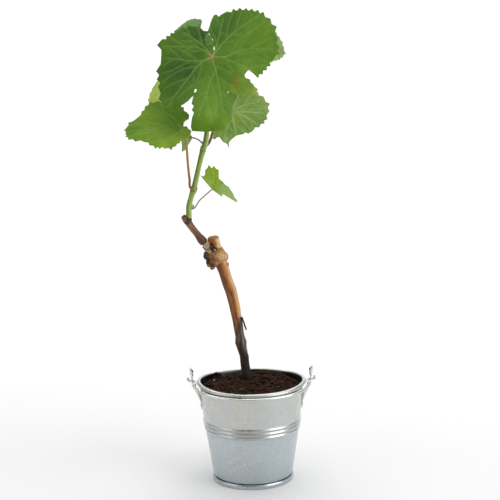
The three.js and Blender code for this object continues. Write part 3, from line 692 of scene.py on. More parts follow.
def ground_height(x, y):
    """The top of the soil, without its crumbs."""
    distance = math.hypot(x - FOOT.x, y - FOOT.y)
    mound = max(0, min(1, (17 - distance) / 9)) * (SOIL_MOUND - SOIL_LEVEL) * 0.8
    place = Vector((x, y, 0))
    for heap_x, heap_y, rise, wide, deep in HEAPS:
        mound += rise * math.exp(-((x - heap_x) / wide) ** 2 - ((y - heap_y) / deep) ** 2)
    clods = 0.9 * noise.noise(place * 0.16) + 0.8 * noise.noise(place * 0.45)
    return min(SOIL_LIMIT, SOIL_LEVEL + mound + clods + 0.45 * noise.noise(place * 1.3))


soil_rings = [(30.4, 1.6), (30.6, 1.7), (36.6, 41.5), (37.9, 51), (39.6, 70)]
soil_rings += [(39.75 - step * 0.55, None) for step in range(72)]
deselect_all()
bpy.ops.mesh.primitive_uv_sphere_add(segments=180, ring_count=len(soil_rings) + 1, radius=1)
ground = bpy.context.object
ground.name = "soil_ground"
for vertex in ground.data.vertices:
    ring = round(math.acos(max(-1, min(1, -vertex.co.z))) / math.pi * (len(soil_rings) + 1)) - 1
    radius, height = soil_rings[max(0, min(len(soil_rings) - 1, ring))]
    turn = math.atan2(vertex.co.y, vertex.co.x)
    if ring < 0 or ring >= len(soil_rings):
        radius = 0
    x, y = radius * math.cos(turn), radius * math.sin(turn)
    vertex.co = Vector((x, y, ground_height(x, y) if height is None else height)) * MM
face_outward(ground)
finish_piece(ground, SOIL, ["soil"], angle=50)
print("ground faces:", len(ground.data.polygons))

# %% Crumbs, chips and fibres
FOOT_CLEARANCE = 5.2


def scattered(name, count, seed, sizes, flatness, subdivisions, finish, spots=(), reach=38.4):
    """Copies of one ball lie on the soil, joined into one piece. Spots are places that surely get one."""
    chance = random.Random(seed)
    deselect_all()
    bpy.ops.mesh.primitive_ico_sphere_add(subdivisions=subdivisions, radius=1)
    ball = bpy.context.object
    corners = [vertex.co.copy() for vertex in ball.data.vertices]
    faces = [tuple(face.vertices) for face in ball.data.polygons]
    bpy.data.objects.remove(ball)
    all_corners, all_faces = [], []
    while len(all_corners) < count * len(corners):
        radius, turn = reach * math.sqrt(chance.random()), chance.uniform(0, 2 * math.pi)
        x, y = radius * math.cos(turn), radius * math.sin(turn)
        size = between(sizes[0], sizes[1], chance.random() ** 3)
        if math.hypot(x, y) + size > reach or math.hypot(x - FOOT.x, y - FOOT.y) < FOOT_CLEARANCE:
            continue
        placed = len(all_corners) // len(corners)
        if placed < len(spots):
            x, y, size = spots[placed]
        squash = Vector((size * chance.uniform(0.7, 1.3), size, size * chance.uniform(*flatness)))
        turned = Matrix.Rotation(chance.uniform(0, 6.3), 3, "Z")
        turned = turned @ Matrix.Rotation(chance.uniform(-0.5, 0.5), 3, "X")
        centre = Vector((x, y, ground_height(x, y) + squash.z * 0.3))
        first = len(all_corners)
        for corner in corners:
            ragged = corner * (1 + 0.35 * noise.noise(corner * 1.7 + centre))
            all_corners.append((centre + turned @ (ragged * squash)) * MM)
        all_faces += [tuple(first + index for index in face) for face in faces]
    mesh = bpy.data.meshes.new(name)
    mesh.from_pydata(all_corners, [], all_faces)
    piece = bpy.data.objects.new(name, mesh)
    scene.collection.objects.link(piece)
    finish_piece(piece, finish, angle=50)
    return piece


crumbs = scattered("soil_crumbs", 1700, 3, (0.35, 1.6), (0.5, 0.9), 1, SOIL)
clods = scattered("soil_clods", 90, 5, (1.2, 3.2), (0.5, 0.85), 3, SOIL,
                  [(-29, 24.6, 1.7), (-26.6, 26.6, 1.4), (-30.6, 22.4, 1.2), (14, 32, 2.6), (22, 28, 2.4)])
chips = scattered("soil_chips", 24, 8, (0.35, 0.9), (0.3, 0.6), 2, PALE_CHIP,
                  [(-22.2, 27, 1.5), (-30.5, 17, 1.3), (3, -18, 1.3), (-25, 8, 1.1), (22, 2, 1.2)])

fibres = []
chance = random.Random(21)
for number in range(34):
    reach, turn, heading = 35 * math.sqrt(chance.random()), chance.uniform(0, 6.28), chance.uniform(0, 6.28)
    x, y = reach * math.cos(turn), reach * math.sin(turn)
    stations = []
    for step in range(4):
        along = (step - 1.5) * chance.uniform(1.0, 2.0)
        bend = chance.uniform(-0.6, 0.6)
        px = x + along * math.cos(heading) - bend * math.sin(heading)
        py = y + along * math.sin(heading) + bend * math.cos(heading)
        stations.append((px, py, ground_height(px, py) + chance.uniform(0.5, 1.1), 0.16))
    fibres.append(limb("fibre", stations, sides=6, steps=9))
finish_piece(join_all(fibres, "soil_fibres"), FIBRE, angle=60)
print("faces of crumbs, clods and chips:", [len(piece.data.polygons) for piece in (crumbs, clods, chips)])

# %% [markdown]
# ## Wood, wax and green stem
# On a plant the colours have their places: bark is grey where it is weathered, red under a torn edge, and
# tan where grafting wax covers it. The tints also hold painted light and shade: the sides of the rootstock,
# stub and shoot that face the strong lamp on the right are painted lighter, with the rootstock's grey right
# side a painted highlight, and their far sides darker, and the cane's right side is painted darker. So each
# woody piece is painted corner by corner with a `tint`, from rules about where a corner lies, and the finish
# adds the fine fibres that run along the limb. The fibres follow the limb because they are drawn on its
# `grain` attribute, not on the room's axes.

# %% Painting by rule
def colours(**codes):
    return {name: colour(code) for name, code in codes.items()}


def blended(first, second, share):
    share = max(0.0, min(1.0, share))
    return tuple(between(a, b, share) for a, b in zip(first, second))


def bark_noise(turn, distance, size, stretch=1.0, seed=0.0):
    """Noise on a limb's skin with no seam. Size is in millimetres, stretch lengthens it along the limb."""
    spoke = Vector((math.cos(turn), math.sin(turn), 0)) * 4 / size
    return noise.noise(spoke + Vector((seed, seed, distance / (size * stretch))))


def paint(piece, tint):
    """Tints a limb: the rule gets the turn, the distance along the limb, and the place."""
    layer = piece.data.attributes.new("tint", "FLOAT_COLOR", "POINT")
    grain = piece.data.attributes["grain"].data
    for vertex in piece.data.vertices:
        back, right, along = grain[vertex.index].vector / MM
        layer.data[vertex.index].color = tint(math.atan2(right, back), along, vertex.co / MM)


print("noise on one side of a limb:", [round(bark_noise(0, step, 3), 2) for step in range(5)])

# %% Woody finish
def woody_finish(name, roughness, contrast, relief, fibre=(1, 1, 0.14), coordinate="grain", coat=0.0):
    finish, tree, shader = new_finish(name, Coat_Weight=coat, Coat_Roughness=0.3)
    tint = place_node(tree, "ShaderNodeAttribute", {"attribute_name": "tint"}).outputs["Color"]
    fibres = mottle(tree, coordinates(tree, coordinate, fibre), 620.0, 2300.0, 0.45)
    dark, light = (1 - contrast,) * 3 + (1,), (1 + contrast,) * 3 + (1,)
    shade = mixed(tree, fibres["Mask"], dark, light)
    tree.links.new(mixed(tree, 1.0, tint, shade, "MULTIPLY"), shader.inputs["Base Color"])
    gloss = spread(tree, fibres["Mask"], 0.0, 1.0, roughness + 0.12, roughness - 0.06)
    tree.links.new(gloss, shader.inputs["Roughness"])
    bumped(tree, shader, fibres["Grain"], relief)
    return finish


BARK = woody_finish("bark_and_wax", 0.6, 0.3, 0.0003)
GRAFT = woody_finish("graft_callus", 0.65, 0.46, 0.0005, (1, 1, 1), None)
STEM = woody_finish("green_stem", 0.48, 0.14, 0.0001)
print("woody finishes:", BARK.name, GRAFT.name, STEM.name)

# %% [markdown]
# ## Rootstock
# The rootstock is the old wood that the vine was grafted on. Its lower half keeps its dark, cracked bark;
# its upper half was dipped in tan wax, which ends in an uneven edge that reaches lower on the left. The
# relief follows that: bark has lengthwise cracks, wax is smooth with slow waves and lies a little proud.

# %% Rootstock
ROOTSTOCK = [
    (-3.7, 13.6, 76.6, 4.3), (-4.1, 13.2, 80, 4.1), (-4.8, 12.4, 90, 3.7), (-6, 11.2, 99, 3.65),
    (-7.4, 10.4, 106, 4.2), (-8.6, 9.6, 115, 3.8), (-10.6, 8.6, 129, 4), (-14.8, 6.8, 152, 4.7),
    (-17.6, 6, 160, 4.6), (-20.7, 5.2, 171, 4.7), (-23.2, 4.8, 178, 4.9), (-25, 4.6, 184, 4.6),
]
BARK_TONES = colours(deep="0E0604", bark="2E1C12", fibre="6A5038", grey="857B73", edge="DCC79F",
                     wax="9A5A22", gold="A8681F", light="CBA070", shade="643A14", streak="521F07")


def wax_share(turn, height):
    """1 where wax covers the rootstock, 0 on bare bark."""
    side = math.sin(turn)
    ragged = 1.6 * bark_noise(turn, height, 1.6) + 2.2 * bark_noise(turn, height, 4, seed=9)
    ragged *= 1 + 3 * step_up(-0.2, 0.6, -side)
    edge = 123.5 + 7 * max(-1, min(1, 2.4 * side + 0.7)) + ragged
    return step_up(-0.5, 0.5, height - edge)


def rootstock_relief(turn, distance, centre):
    wax = wax_share(turn, centre.z)
    crack = abs(bark_noise(turn, distance, 1.5, 7)) * 2.4
    plate = bark_noise(turn, distance, 0.8, 3, seed=4)
    knuckle = 0.95 * math.exp(-((centre.z - 110) / 3) ** 2) * (0.6 - 0.4 * math.cos(turn * 2))
    knuckle += 0.4 * math.exp(-((centre.z - 97) / 2.4) ** 2) * (0.5 + 0.5 * math.sin(turn))
    bark = 0.34 * min(1, crack) - 0.3 + 0.16 * plate + knuckle
    waves = 0.24 * bark_noise(turn, distance, 5, 2.4) + 0.08 * bark_noise(turn, distance, 1.2, 5, seed=2)
    return between(bark, 0.06 + waves, wax)


def rootstock_tint(turn, distance, place):
    tones = BARK_TONES
    side, front = math.sin(turn), -math.cos(turn)
    wander = 0.24 * bark_noise(0.0, place.z, 5) + 0.1 * bark_noise(1.0, place.z, 1.4)
    fibre = max(0.0, min(1.0, 0.45 + 1.7 * bark_noise(turn, distance, 0.8, 9)))
    bark = blended(tones["bark"], tones["fibre"], fibre * step_up(95, 108, place.z))
    # Painted highlight: the bark is painted grey on its right side, towards the strong lamp.
    painted_grey_highlight = step_up(0.3, 0.75, side + 0.2 * fibre) * step_up(100, 108, place.z)
    bark = blended(bark, tones["grey"], 0.75 * painted_grey_highlight)
    bark = blended(tones["deep"], bark, step_up(78, 96, place.z) * (0.45 + 0.6 * fibre))
    wax = blended(tones["wax"], tones["gold"], 0.5 + 1.1 * bark_noise(turn, distance, 3, 2.5, seed=3))
    # Painted highlight on the wax's right side, painted shade on its left, and a thin lighter edge at the
    # far left as a painted reflection of the backdrop.
    wax = blended(wax, tones["light"], step_up(0.25, 0.8, side + 0.3 * wander))
    wax = blended(wax, tones["shade"], 0.85 * (1 - step_up(-0.75, -0.2, side)))
    wax = blended(wax, tones["wax"], 0.8 * (1 - step_up(-0.97, -0.9, side)))
    drift = 0.34 * step_up(136, 172, place.z)
    broad = 0.16 + 0.2 * step_up(140, 168, place.z)
    narrow = 1 - step_up(0.4 * broad, 1.5 * broad, abs(side + drift - 0.7 * wander))
    patchy = between(0.62, 1.0, step_up(-0.3, 0.1, bark_noise(0.5, place.z, 6, seed=6)))
    patchy *= between(1.0, 0.7, step_up(140, 160, place.z))
    wax = blended(wax, tones["streak"], narrow * patchy * (1 if front > 0 else 0.3))
    share = wax_share(turn, place.z)
    rim = max(0, 1 - abs(share - 0.75) * 4)
    return blended(blended(bark, wax, share), tones["edge"], 0.6 * rim * step_up(-0.3, 0.4, side))


trunk = limb("rootstock_bark", ROOTSTOCK, sides=72, steps=300, relief=rootstock_relief)
paint(trunk, rootstock_tint)
finish_piece(trunk, BARK, ["rootstock"], angle=60)
print("rootstock faces:", len(trunk.data.polygons))

# %% [markdown]
# A strip of old bark has come loose where the wax ends, and stands off the stem. It is a cube that is
# subdivided, drawn out from one point to another and made a little uneven. The same helper makes the flakes
# on the graft.

# %% Loose strip of bark
def sliver(name, start, end, width, thickness, bow, tone, blunt=0.35):
    """A thin strip from start to end, bowed sideways, in millimetres. Blunt is its width at the ends."""
    start, end = Vector(start), Vector(end)
    deselect_all()
    bpy.ops.mesh.primitive_cube_add(size=2)
    piece = bpy.context.object
    piece.name = name
    bpy.ops.object.mode_set(mode="EDIT")
    bpy.ops.mesh.select_all(action="SELECT")
    bpy.ops.mesh.subdivide(number_cuts=7)
    bpy.ops.object.mode_set(mode="OBJECT")
    along = (end - start).normalized()
    sideways = along.cross(Vector((0, 1, 0))).normalized()
    for vertex in piece.data.vertices:
        share = (vertex.co.z + 1) / 2
        taper = blunt + (1 - blunt) * math.sin(math.pi * min(0.9, 0.15 + share * 0.8))
        place = start.lerp(end, share) + sideways * (bow * math.sin(math.pi * share))
        place += sideways * (vertex.co.x * thickness / 2 * taper)
        place += Vector((0, 1, 0)) * (vertex.co.y * width / 2 * taper)
        vertex.co = (place + Vector((0, 0, 0.3 * noise.noise(place)))) * MM
    layer = piece.data.attributes.new("tint", "FLOAT_COLOR", "POINT")
    for corner in layer.data:
        corner.color = tone
    return piece


DARK_FLAKE = woody_finish("dark_flake", 0.7, 0.35, 0.0003, (1, 1, 0.3), None)
loose_bark = sliver("loose_bark", (-6.6, 5.6, 131.2), (-3.3, 6.2, 120.6), 2.6, 1.15, 0,
                    colour("0E0806"), 0.9)
finish_piece(loose_bark, DARK_FLAKE, angle=40)
print("loose strip faces:", len(loose_bark.data.polygons))

# %% [markdown]
# ## Graft
# Above the rootstock two things leave the graft: the rootstock's own cut top, sealed with smooth orange
# wax, and the cane of the vine. The stub is a limb with a rounded end.

# %% Stub
STUB = [(-24.2, 4.5, 182, 4.8), (-27, 4.2, 190, 4.8), (-28.2, 4, 195, 4.85), (-28.6, 4, 196.8, 4.5),
        (-28.8, 4, 197.9, 3.2)]
STUB_TONES = colours(amber="A4621F", light="D8AE80", cap="8C673E", red="8A4520")


def stub_relief(turn, distance, centre):
    return 0.16 * bark_noise(turn, distance, 3.5) + 0.05 * bark_noise(turn, distance, 1)


def stub_tint(turn, distance, place):
    tones = STUB_TONES
    side = math.sin(turn)
    body = blended(tones["amber"], tones["red"], 0.5 + bark_noise(turn, distance, 2.6, seed=5))
    # Painted highlight: the right side is lighter.
    body = blended(body, tones["light"], step_up(0.05, 0.75, side + 0.3 * bark_noise(turn, distance, 3)))
    return blended(body, tones["cap"], step_up(195.6, 197.0, place.z + 0.3 * bark_noise(turn, distance, 2)))


stub = limb("stub_wax", STUB, sides=48, steps=60, relief=stub_relief)
paint(stub, stub_tint)
finish_piece(stub, BARK, ["rootstock_stub"], angle=60)
print("stub faces:", len(stub.data.polygons))

# %% [markdown]
# Where rootstock and cane have grown together there is a rough knot of callus. Balls of several sizes are
# joined and remeshed with small voxels, which melts them into one skin. Then that skin is pushed in along
# a few pits and one deep crevice, and roughened: coarse on the left, where bark flakes off, and fine on the
# right. Its tint comes from spots of colour that fade into each other.

# %% Knot: one skin from many balls
KNOT_LUMPS = [  # centre and three half-widths
    ((-25.6, 4.6, 181.2), (7.6, 6.6, 8.4)), ((-33.3, 2.6, 190.4), (3.3, 3.1, 3.7)),
    ((-34, 3.6, 182.4), (2.4, 3.2, 3.4)), ((-31.6, 3.4, 176.6), (2.8, 3.2, 3.6)),
    ((-20.4, 4.4, 181), (3.9, 4.8, 4.2)), ((-17.8, 3.8, 174.8), (1.9, 2.2, 2.0)),
    ((-27, 10.4, 182), (4.4, 2.6, 4.2)), ((-22.9, -0.6, 182.2), (3.0, 2.2, 3.1)),
    ((-32.0, 0.4, 191.8), (1.9, 1.6, 1.6)), ((-31.4, -0.2, 186.2), (1.8, 1.5, 2.2)),
    ((-28.6, -1.2, 180.6), (2.6, 1.7, 2.4)), ((-29.6, 3.4, 172.8), (2.0, 2.6, 2.0)),
    ((-24.4, -0.4, 176.6), (3.4, 1.6, 1.7)), ((-34.8, 1.6, 192.4), (1.5, 1.4, 1.5)),
    ((-34.4, 0.6, 188.6), (1.4, 1.3, 1.5)), ((-25.4, 4.2, 187), (4.9, 4.7, 3.6)),
]
KNOT_PITS = [  # centre, radius, depth
    ((-33.2, -0.6, 190.2), 0.8, 1.0), ((-33.4, -0.9, 187.2), 1.0, 1.3), ((-31.2, -0.9, 190.0), 0.7, 0.9),
    ((-29.9, -1, 191.6), 1.2, 1.3), ((-28.2, -2.4, 188.8), 1.4, 2.0), ((-25.8, -2.6, 187.4), 1.2, 1.4),
    ((-19.7, 0.4, 175.4), 0.9, 1.0), ((-23.6, -2.6, 179.0), 0.9, 0.5), ((-26.2, -2.8, 183.0), 1.0, 0.6),
    ((-30.4, -1.8, 183.4), 1.0, 0.7),
]
lumps = []
for centre, half in KNOT_LUMPS:
    deselect_all()
    bpy.ops.mesh.primitive_ico_sphere_add(subdivisions=4, radius=1, location=Vector(centre) * MM,
                                          scale=Vector(half) * MM)
    lumps.append(bpy.context.object)
knot = join_all(lumps, "graft_callus")
bpy.ops.object.transform_apply(location=True, rotation=True, scale=True)
skin = knot.modifiers.new("skin", "REMESH")
skin.mode, skin.voxel_size = "VOXEL", 0.3 * MM
bpy.ops.object.modifier_apply(modifier="skin")
relaxed = knot.modifiers.new("relaxed", "SMOOTH")
relaxed.iterations = 6
bpy.ops.object.modifier_apply(modifier="relaxed")
print("knot faces:", len(knot.data.polygons))

# %% Knot: pits and rough skin
shape_normals = [vertex.normal.copy() for vertex in knot.data.vertices]
for vertex, normal in zip(knot.data.vertices, shape_normals):
    place = vertex.co / MM
    push = 0.0
    for centre, radius, depth in KNOT_PITS:
        distance = (place - Vector(centre)).length / radius
        push -= depth * math.exp(-distance * distance)
    rough = 0.3 + 0.5 * step_up(-27, -32, place.x)
    flaky = abs(noise.noise(Vector((place.x * 0.7, place.y * 0.7, place.z * 0.45)) * 1.4))
    push += rough * (1.5 * flaky - 0.35) + 0.2 * noise.noise(place * 1.9)
    vertex.co = (place + normal * push) * MM
print("knot with its pits:", [round(side / MM, 1) for side in knot.dimensions], "mm")

# %% Knot: tint by spots
# The dark spots in the pits and the near-black ones along the crevice are painted shade; the other spots are
# the callus's own colours.
KNOT_SPOTS = [  # centre, radius, tone
    ((-33.4, 0, 191.4), 2.9, "CDB78F"), ((-31.4, -0.8, 186.6), 2.2, "BEA274"),
    ((-36.2, 2, 182.4), 3.2, "38241A"), ((-36.6, 2, 187.0), 1.9, "4A3424"),
    ((-33.0, 1, 177.6), 3.2, "4C2E1C"), ((-29.5, 1, 173.0), 2.6, "7A6040"),
    ((-28.6, -2.4, 180.2), 2.7, "70391F"), ((-22.7, -2.4, 182.4), 3.0, "CBAE74"),
    ((-23.1, -2.2, 175.4), 1.6, "641F0C"), ((-18.4, 0, 181.2), 3.2, "D0A678"),
    ((-17.0, 2, 174.6), 2.0, "A3927D"), ((-19.7, 0.2, 175.3), 1.3, "35190C"),
    ((-29.9, -0.6, 191.8), 1.4, "1C0D07"), ((-28.0, -2.0, 188.6), 1.9, "140805"),
    ((-25.6, -2.2, 187.4), 1.4, "24120A"), ((-27.0, -3.0, 186.6), 0.8, "C3BAB2"),
    ((-33.2, -0.7, 190.1), 0.7, "5A3A1C"), ((-31.2, -0.9, 189.9), 0.6, "4A2A12"),
    ((-33.4, -1.0, 187.2), 1.0, "3A1A08"), ((-34.6, 0.6, 180.6), 0.8, "B59A74"),
    ((-30.4, -0.6, 178.2), 0.8, "C09A6C"), ((-24.4, -2.6, 179.0), 1.3, "7A4A34"),
]
tint = knot.data.attributes.new("tint", "FLOAT_COLOR", "POINT")
for vertex in knot.data.vertices:
    place = vertex.co / MM
    shifted = place + 0.8 * noise.noise_vector(place * 0.7)
    tone = blended(colour("9A6A3C"), colour("B98A55"), 0.5 + noise.noise(place * 0.4))
    for centre, radius, code in KNOT_SPOTS:
        distance = (shifted - Vector(centre)).length / radius
        tone = blended(tone, colour(code), 1.25 * math.exp(-distance ** 2.4))
    tint.data[vertex.index].color = tone
finish_piece(knot, GRAFT, ["graft_knot"], angle=60)
print("spots of colour on the knot:", len(KNOT_SPOTS))

# %% Knot: flakes of dark bark on its left, and near-black flakes in its crevice, partly painted shade
CREVICE_FLAKES = [  # root, tip, thickness, tone
    # The first three flakes are near black: bark flakes that also stand for the crevice's shade.
    ((-30.0, -0.8, 193.2), (-28.2, -1.2, 189.2), 1.5, "150A05"),
    ((-28.8, -1.3, 190.2), (-25.4, -1.0, 187.6), 1.5, "1C0E07"),
    ((-29.6, -1.5, 188.8), (-28.0, -1.7, 186.2), 1.3, "2A140A"),
    ((-27.6, -1.9, 188.0), (-26.4, -2.0, 187.2), 0.8, "B4ACA2"),
    ((-38.2, 1.6, 196.2), (-40.9, 1.8, 194.2), 1.5, "2E1A10"),
    ((-36.6, 0.6, 194.0), (-34.6, 0.2, 193.0), 1.0, "3A2214"),
]
chance = random.Random(11)
flakes = []
for number in range(16):
    share = number / 15
    base = Vector((-36.2, 2.4, 189)).lerp(Vector((-29.6, 2.2, 172.6)), share)
    base += Vector((1.0 * math.sin(share * 9), chance.uniform(-2.4, 3), 0))
    tip = base + Vector((chance.uniform(-1.7, -0.6), chance.uniform(-0.8, 0.6), chance.uniform(-0.9, 1.4)))
    root = base + Vector((1.6, 0, chance.uniform(-1.0, -0.2)))
    tone = colour(chance.choice(["241610", "38241A", "52382A", "1A100C"]))
    flakes.append(sliver("flake", root, tip, chance.uniform(1.4, 2.6), chance.uniform(0.6, 1.0), 0.2, tone))
for root, tip, thickness, code in CREVICE_FLAKES:
    flakes.append(sliver("flake", root, tip, 1.6, thickness, 0.1, colour(code), 0.6))
join_all(flakes, "graft_flakes")
finish_piece(flakes[0], DARK_FLAKE, angle=40)
print("flake faces:", len(flakes[0].data.polygons))

# %% [markdown]
# ## Cane and shoot
# The cane is last year's wood: brown and ridged along its length, grey on its left side and darker on its
# right, where shade is painted, reddish at its torn foot, with a dark cut end that stands past the shoot.
# The green shoot grows from its bud. It is thickest at its nodes, painted olive as shade on the left and
# pale green as a painted highlight on the right, and it runs up behind the leaves to its growing tip.

# %% Cane
CANE = [
    (-35.6, 3.3, 192.3, 2.8), (-36.7, 3.1, 194.0, 3.6), (-38.4, 2.9, 196.4, 3.3), (-40.2, 2.6, 198.8, 2.8),
    (-43.4, 2, 203, 2.6), (-47.2, 1.4, 208.4, 2.75), (-49.4, 1.1, 211.4, 2.9), (-51.0, 0.9, 213.4, 2.4),
    (-52.2, 0.8, 214.8, 1.6),
]
CANE_TONES = colours(brown="6A4428", dark="2E1A12", red="50210F", grey="9C8A70", light="94703F")


def cane_relief(turn, distance, centre):
    ridge = 0.1 * math.cos(turn * 9 + 2 * bark_noise(turn, distance, 3))
    torn = 0.3 * (1 - step_up(0, 3, distance)) * bark_noise(turn, 0, 0.9)
    return ridge + 0.22 * bark_noise(turn, distance, 1.4, 3) + torn


def cane_tint(turn, distance, place):
    tones = CANE_TONES
    side = math.sin(turn)
    body = blended(tones["brown"], tones["light"], 0.4 + bark_noise(turn, distance, 1.2, 6))
    body = blended(body, tones["grey"], 0.8 * (1 - step_up(-0.85, -0.35, side)))
    # Painted shade: the right side is darkened.
    body = blended(body, tones["dark"], 0.45 * step_up(0.3, 0.9, side))
    body = blended(body, tones["red"], 0.8 * (1 - step_up(196, 203, place.z)))
    return blended(body, tones["dark"], step_up(213.4, 214.6, place.z + 0.5 * bark_noise(turn, distance, 2)))


cane = limb("cane_bark", CANE, sides=40, steps=120, relief=cane_relief)
paint(cane, cane_tint)
finish_piece(cane, BARK, ["cane"], angle=60)
print("cane faces:", len(cane.data.polygons))

# %% Shoot
SHOOT = [
    (-48.2, 1.1, 209, 2.6), (-47.4, 1, 211.6, 2.5), (-47.1, 1, 215, 2.3), (-46.9, 0.6, 222, 2.3),
    (-44.9, 0.2, 229.6, 2.15), (-42.9, 0, 235.2, 2.75), (-41.7, 0.2, 239.4, 2.25), (-37.7, 1.4, 255.6, 2.05),
    (-34.8, 2.6, 266, 2.45), (-32.9, 3.4, 272.6, 2.0), (-28.6, 5.8, 298, 1.8), (-25.8, 7.6, 317, 1.6),
    (-22.2, 9, 337, 1.2), (-20.6, 9.6, 345, 0.5),
]
NODE_HEIGHTS = (235.4, 266.5, 291.0, 306.0, 322.5, 329.5)
SHOOT_TONES = colours(green="86A03C", olive="5C7228", pale="ABC070", top="6C8A34", scar="3E3018",
                      base="92AA4C")


def shoot_relief(turn, distance, centre):
    ridges = 0.06 * math.cos(turn * 10)
    rings = sum(0.22 * math.exp(-((centre.z - height) / 0.8) ** 2) for height in NODE_HEIGHTS)
    return ridges + rings + 0.06 * bark_noise(turn, distance, 2, 3)


def shoot_tint(turn, distance, place):
    tones = SHOOT_TONES
    side = math.sin(turn)
    body = blended(tones["base"], tones["green"], step_up(214, 232, place.z))
    body = blended(body, tones["top"], step_up(255, 285, place.z))
    # Painted shade: olive on the left side.
    body = blended(body, tones["olive"], 0.85 * (1 - step_up(-0.5, 0.35, side)))
    body = blended(body, tones["pale"], 0.5 * step_up(0.0, 0.5, bark_noise(turn, distance, 0.7, 14, seed=8)))
    # Painted highlight: pale green on the right side.
    body = blended(body, tones["pale"], 0.8 * step_up(0.45, 0.9, side))
    near = min(abs(place.z - height + 0.7) for height in NODE_HEIGHTS)
    scar = step_up(1.0, 0.2, near)
    return blended(body, tones["scar"], scar * step_up(-0.05, 0.25, bark_noise(turn, distance, 1.3)))


shoot = limb("shoot_stem", SHOOT, sides=40, steps=340, relief=shoot_relief)
paint(shoot, shoot_tint)
finish_piece(shoot, STEM, ["shoot_lower", "shoot_upper"], angle=60)
print("shoot faces:", len(shoot.data.polygons))

# %% [markdown]
# The old bud's bark still wraps the foot of the shoot, and at the nodes there are young buds and the small
# pale scale that grew beside a leaf. All of them are short limbs.

# %% Bark collar, buds and scale
GROWTHS = {
    "bud_bark": ([(-48.8, 1.1, 208.4, 3.0), (-47.9, 1, 211, 3.1), (-47.2, 0.95, 213.4, 2.7)], "3A2418"),
    "bud_low": ([(-45.0, 0.2, 220.6, 0.8), (-43.7, 0, 222.2, 1.1), (-43.3, -0.1, 224.2, 0.4)], "A9B86C"),
    "bud_middle": ([(-41.6, -0.6, 234.6, 0.9), (-40.6, -1.2, 236.4, 1), (-40.2, -1.4, 238, 0.4)], "7A7A3C"),
    "bud_high": ([(-35.2, 1.2, 266, 0.8), (-36.0, 0.8, 268, 0.9), (-36.1, 0.9, 269.6, 0.35)], "7C8A40"),
    "scale": ([(-33.2, 2.2, 266.2, 0.9), (-31.4, 3.4, 272, 1.0), (-29.9, 4.9, 279, 0.5)], "AEBC7C"),
}
for name, (stations, code) in GROWTHS.items():
    growth = limb(name, stations, sides=20, steps=24,
                  relief=lambda turn, distance, centre: 0.2 * bark_noise(turn, distance, 1.2, 2))
    paint(growth, lambda turn, distance, place: blended(
        colour(code), CANE_TONES["light"], 0.5 * bark_noise(turn, distance, 1, 4)))
    finish, slot_name = (BARK, "cane_bark") if name == "bud_bark" else (STEM, "green_stem")
    finish_piece(growth, finish, angle=60)
print("growths on the shoot:", ", ".join(GROWTHS))

# %% [markdown]
# ## Leaves
# A vine leaf has five main veins that leave the stalk like fingers, side veins between them, and teeth where
# the veins reach the edge. All of it is drawn flat first: the outline in polar corners round the stalk, the
# main veins as polar paths, the side veins grown from those by a rule. Then the flat leaf is folded along
# its midrib and bent round a few axes, which gives the drooping lobes.
#
# Every leaf of the plant is one entry in a table, in millimetres and degrees. An angle of 0 is the midrib's
# direction. The entry says where the stalk meets the blade, which way the upper face and the midrib point,
# and which of its two faces is seen from the front.

# %% Leaf outlines: angle from the midrib, distance from the stalk, teeth on the side that follows
TOP_OUTLINE = [
    (-166, 22, 0), (-156, 23.5, 0), (-152, 27, 0), (-140, 32.2, 2), (-123, 36.5, 3), (-106, 41.2, 0),
    (-98, 43.6, 1), (-86, 39, 1), (-71, 44.4, 2), (-55, 47.5, 1), (-45, 52.7, 1), (-32, 56.4, 1),
    (-22, 46.2, 0), (-19.5, 41.5, 0), (-18, 35, 0), (-16.5, 39, 0), (-15, 42.9, 1), (-11.5, 48.5, 1),
    (-8.5, 54.5, 0), (-7.5, 58.5, 0), (-6, 60.4, 0), (-1, 60.7, 0), (4, 61.2, 0), (9, 61.9, 0),
    (14, 62.4, 0), (17, 60.9, 0), (20, 57.5, 0), (21.5, 54, 0), (22.3, 49, 1), (22.8, 44.9, 1),
    (26, 36.8, 1), (32, 30.3, 1), (44, 26, 1), (59, 23, 0), (60.5, 31.3, 0), (66.5, 31.8, 0),
    (68, 40.5, 3), (84, 46, 1), (91, 47.8, 1), (96, 53, 2), (110, 53, 1), (121, 56, 2),
    (138, 55, 3), (152, 49, 2), (163, 43.8, 1), (168, 40.2, 0), (173, 37, 0), (176.5, 34.4, 0),
    (179.5, 36.2, 0), (183, 35.3, 0), (187, 29.7, 0), (191, 24.5, 0),
]
TOP_OPENINGS = [
    [(-175, 4), (-160, 6.5), (-151, 10.5), (-156, 16), (-165, 20.4), (-168, 20.4), (-177, 15), (-184, 10),
     (-194, 6)],
    [(-20.5, 30.4), (-18.6, 29.4), (-16.8, 31.6), (-18.4, 33.2)],
    [(73.4, 30.6), (67.2, 38.8), (62, 38), (62, 30), (67.5, 29.6)],
]
LEFT_OPENINGS = [[(-87, 5.8), (-118, 9.4), (-150, 9.4), (-166, 5.2), (-150, 3.4), (-100, 2.2)]]
RIGHT_OUTLINE = [
    (-168, 6, 0), (-140, 15, 0), (-112, 22, 2), (-90, 28.5, 3), (-69, 26, 2), (-40, 31.6, 2), (-16, 30.5, 1),
    (-8, 29.5, 2), (14, 26, 1), (19, 28, 2), (34, 24.5, 1), (58, 27.5, 1), (61, 34.5, 1), (71, 29, 0),
    (80, 25.5, 1), (85, 30.5, 2), (96, 27, 0), (118, 14, 0), (160, 6, 0),
]
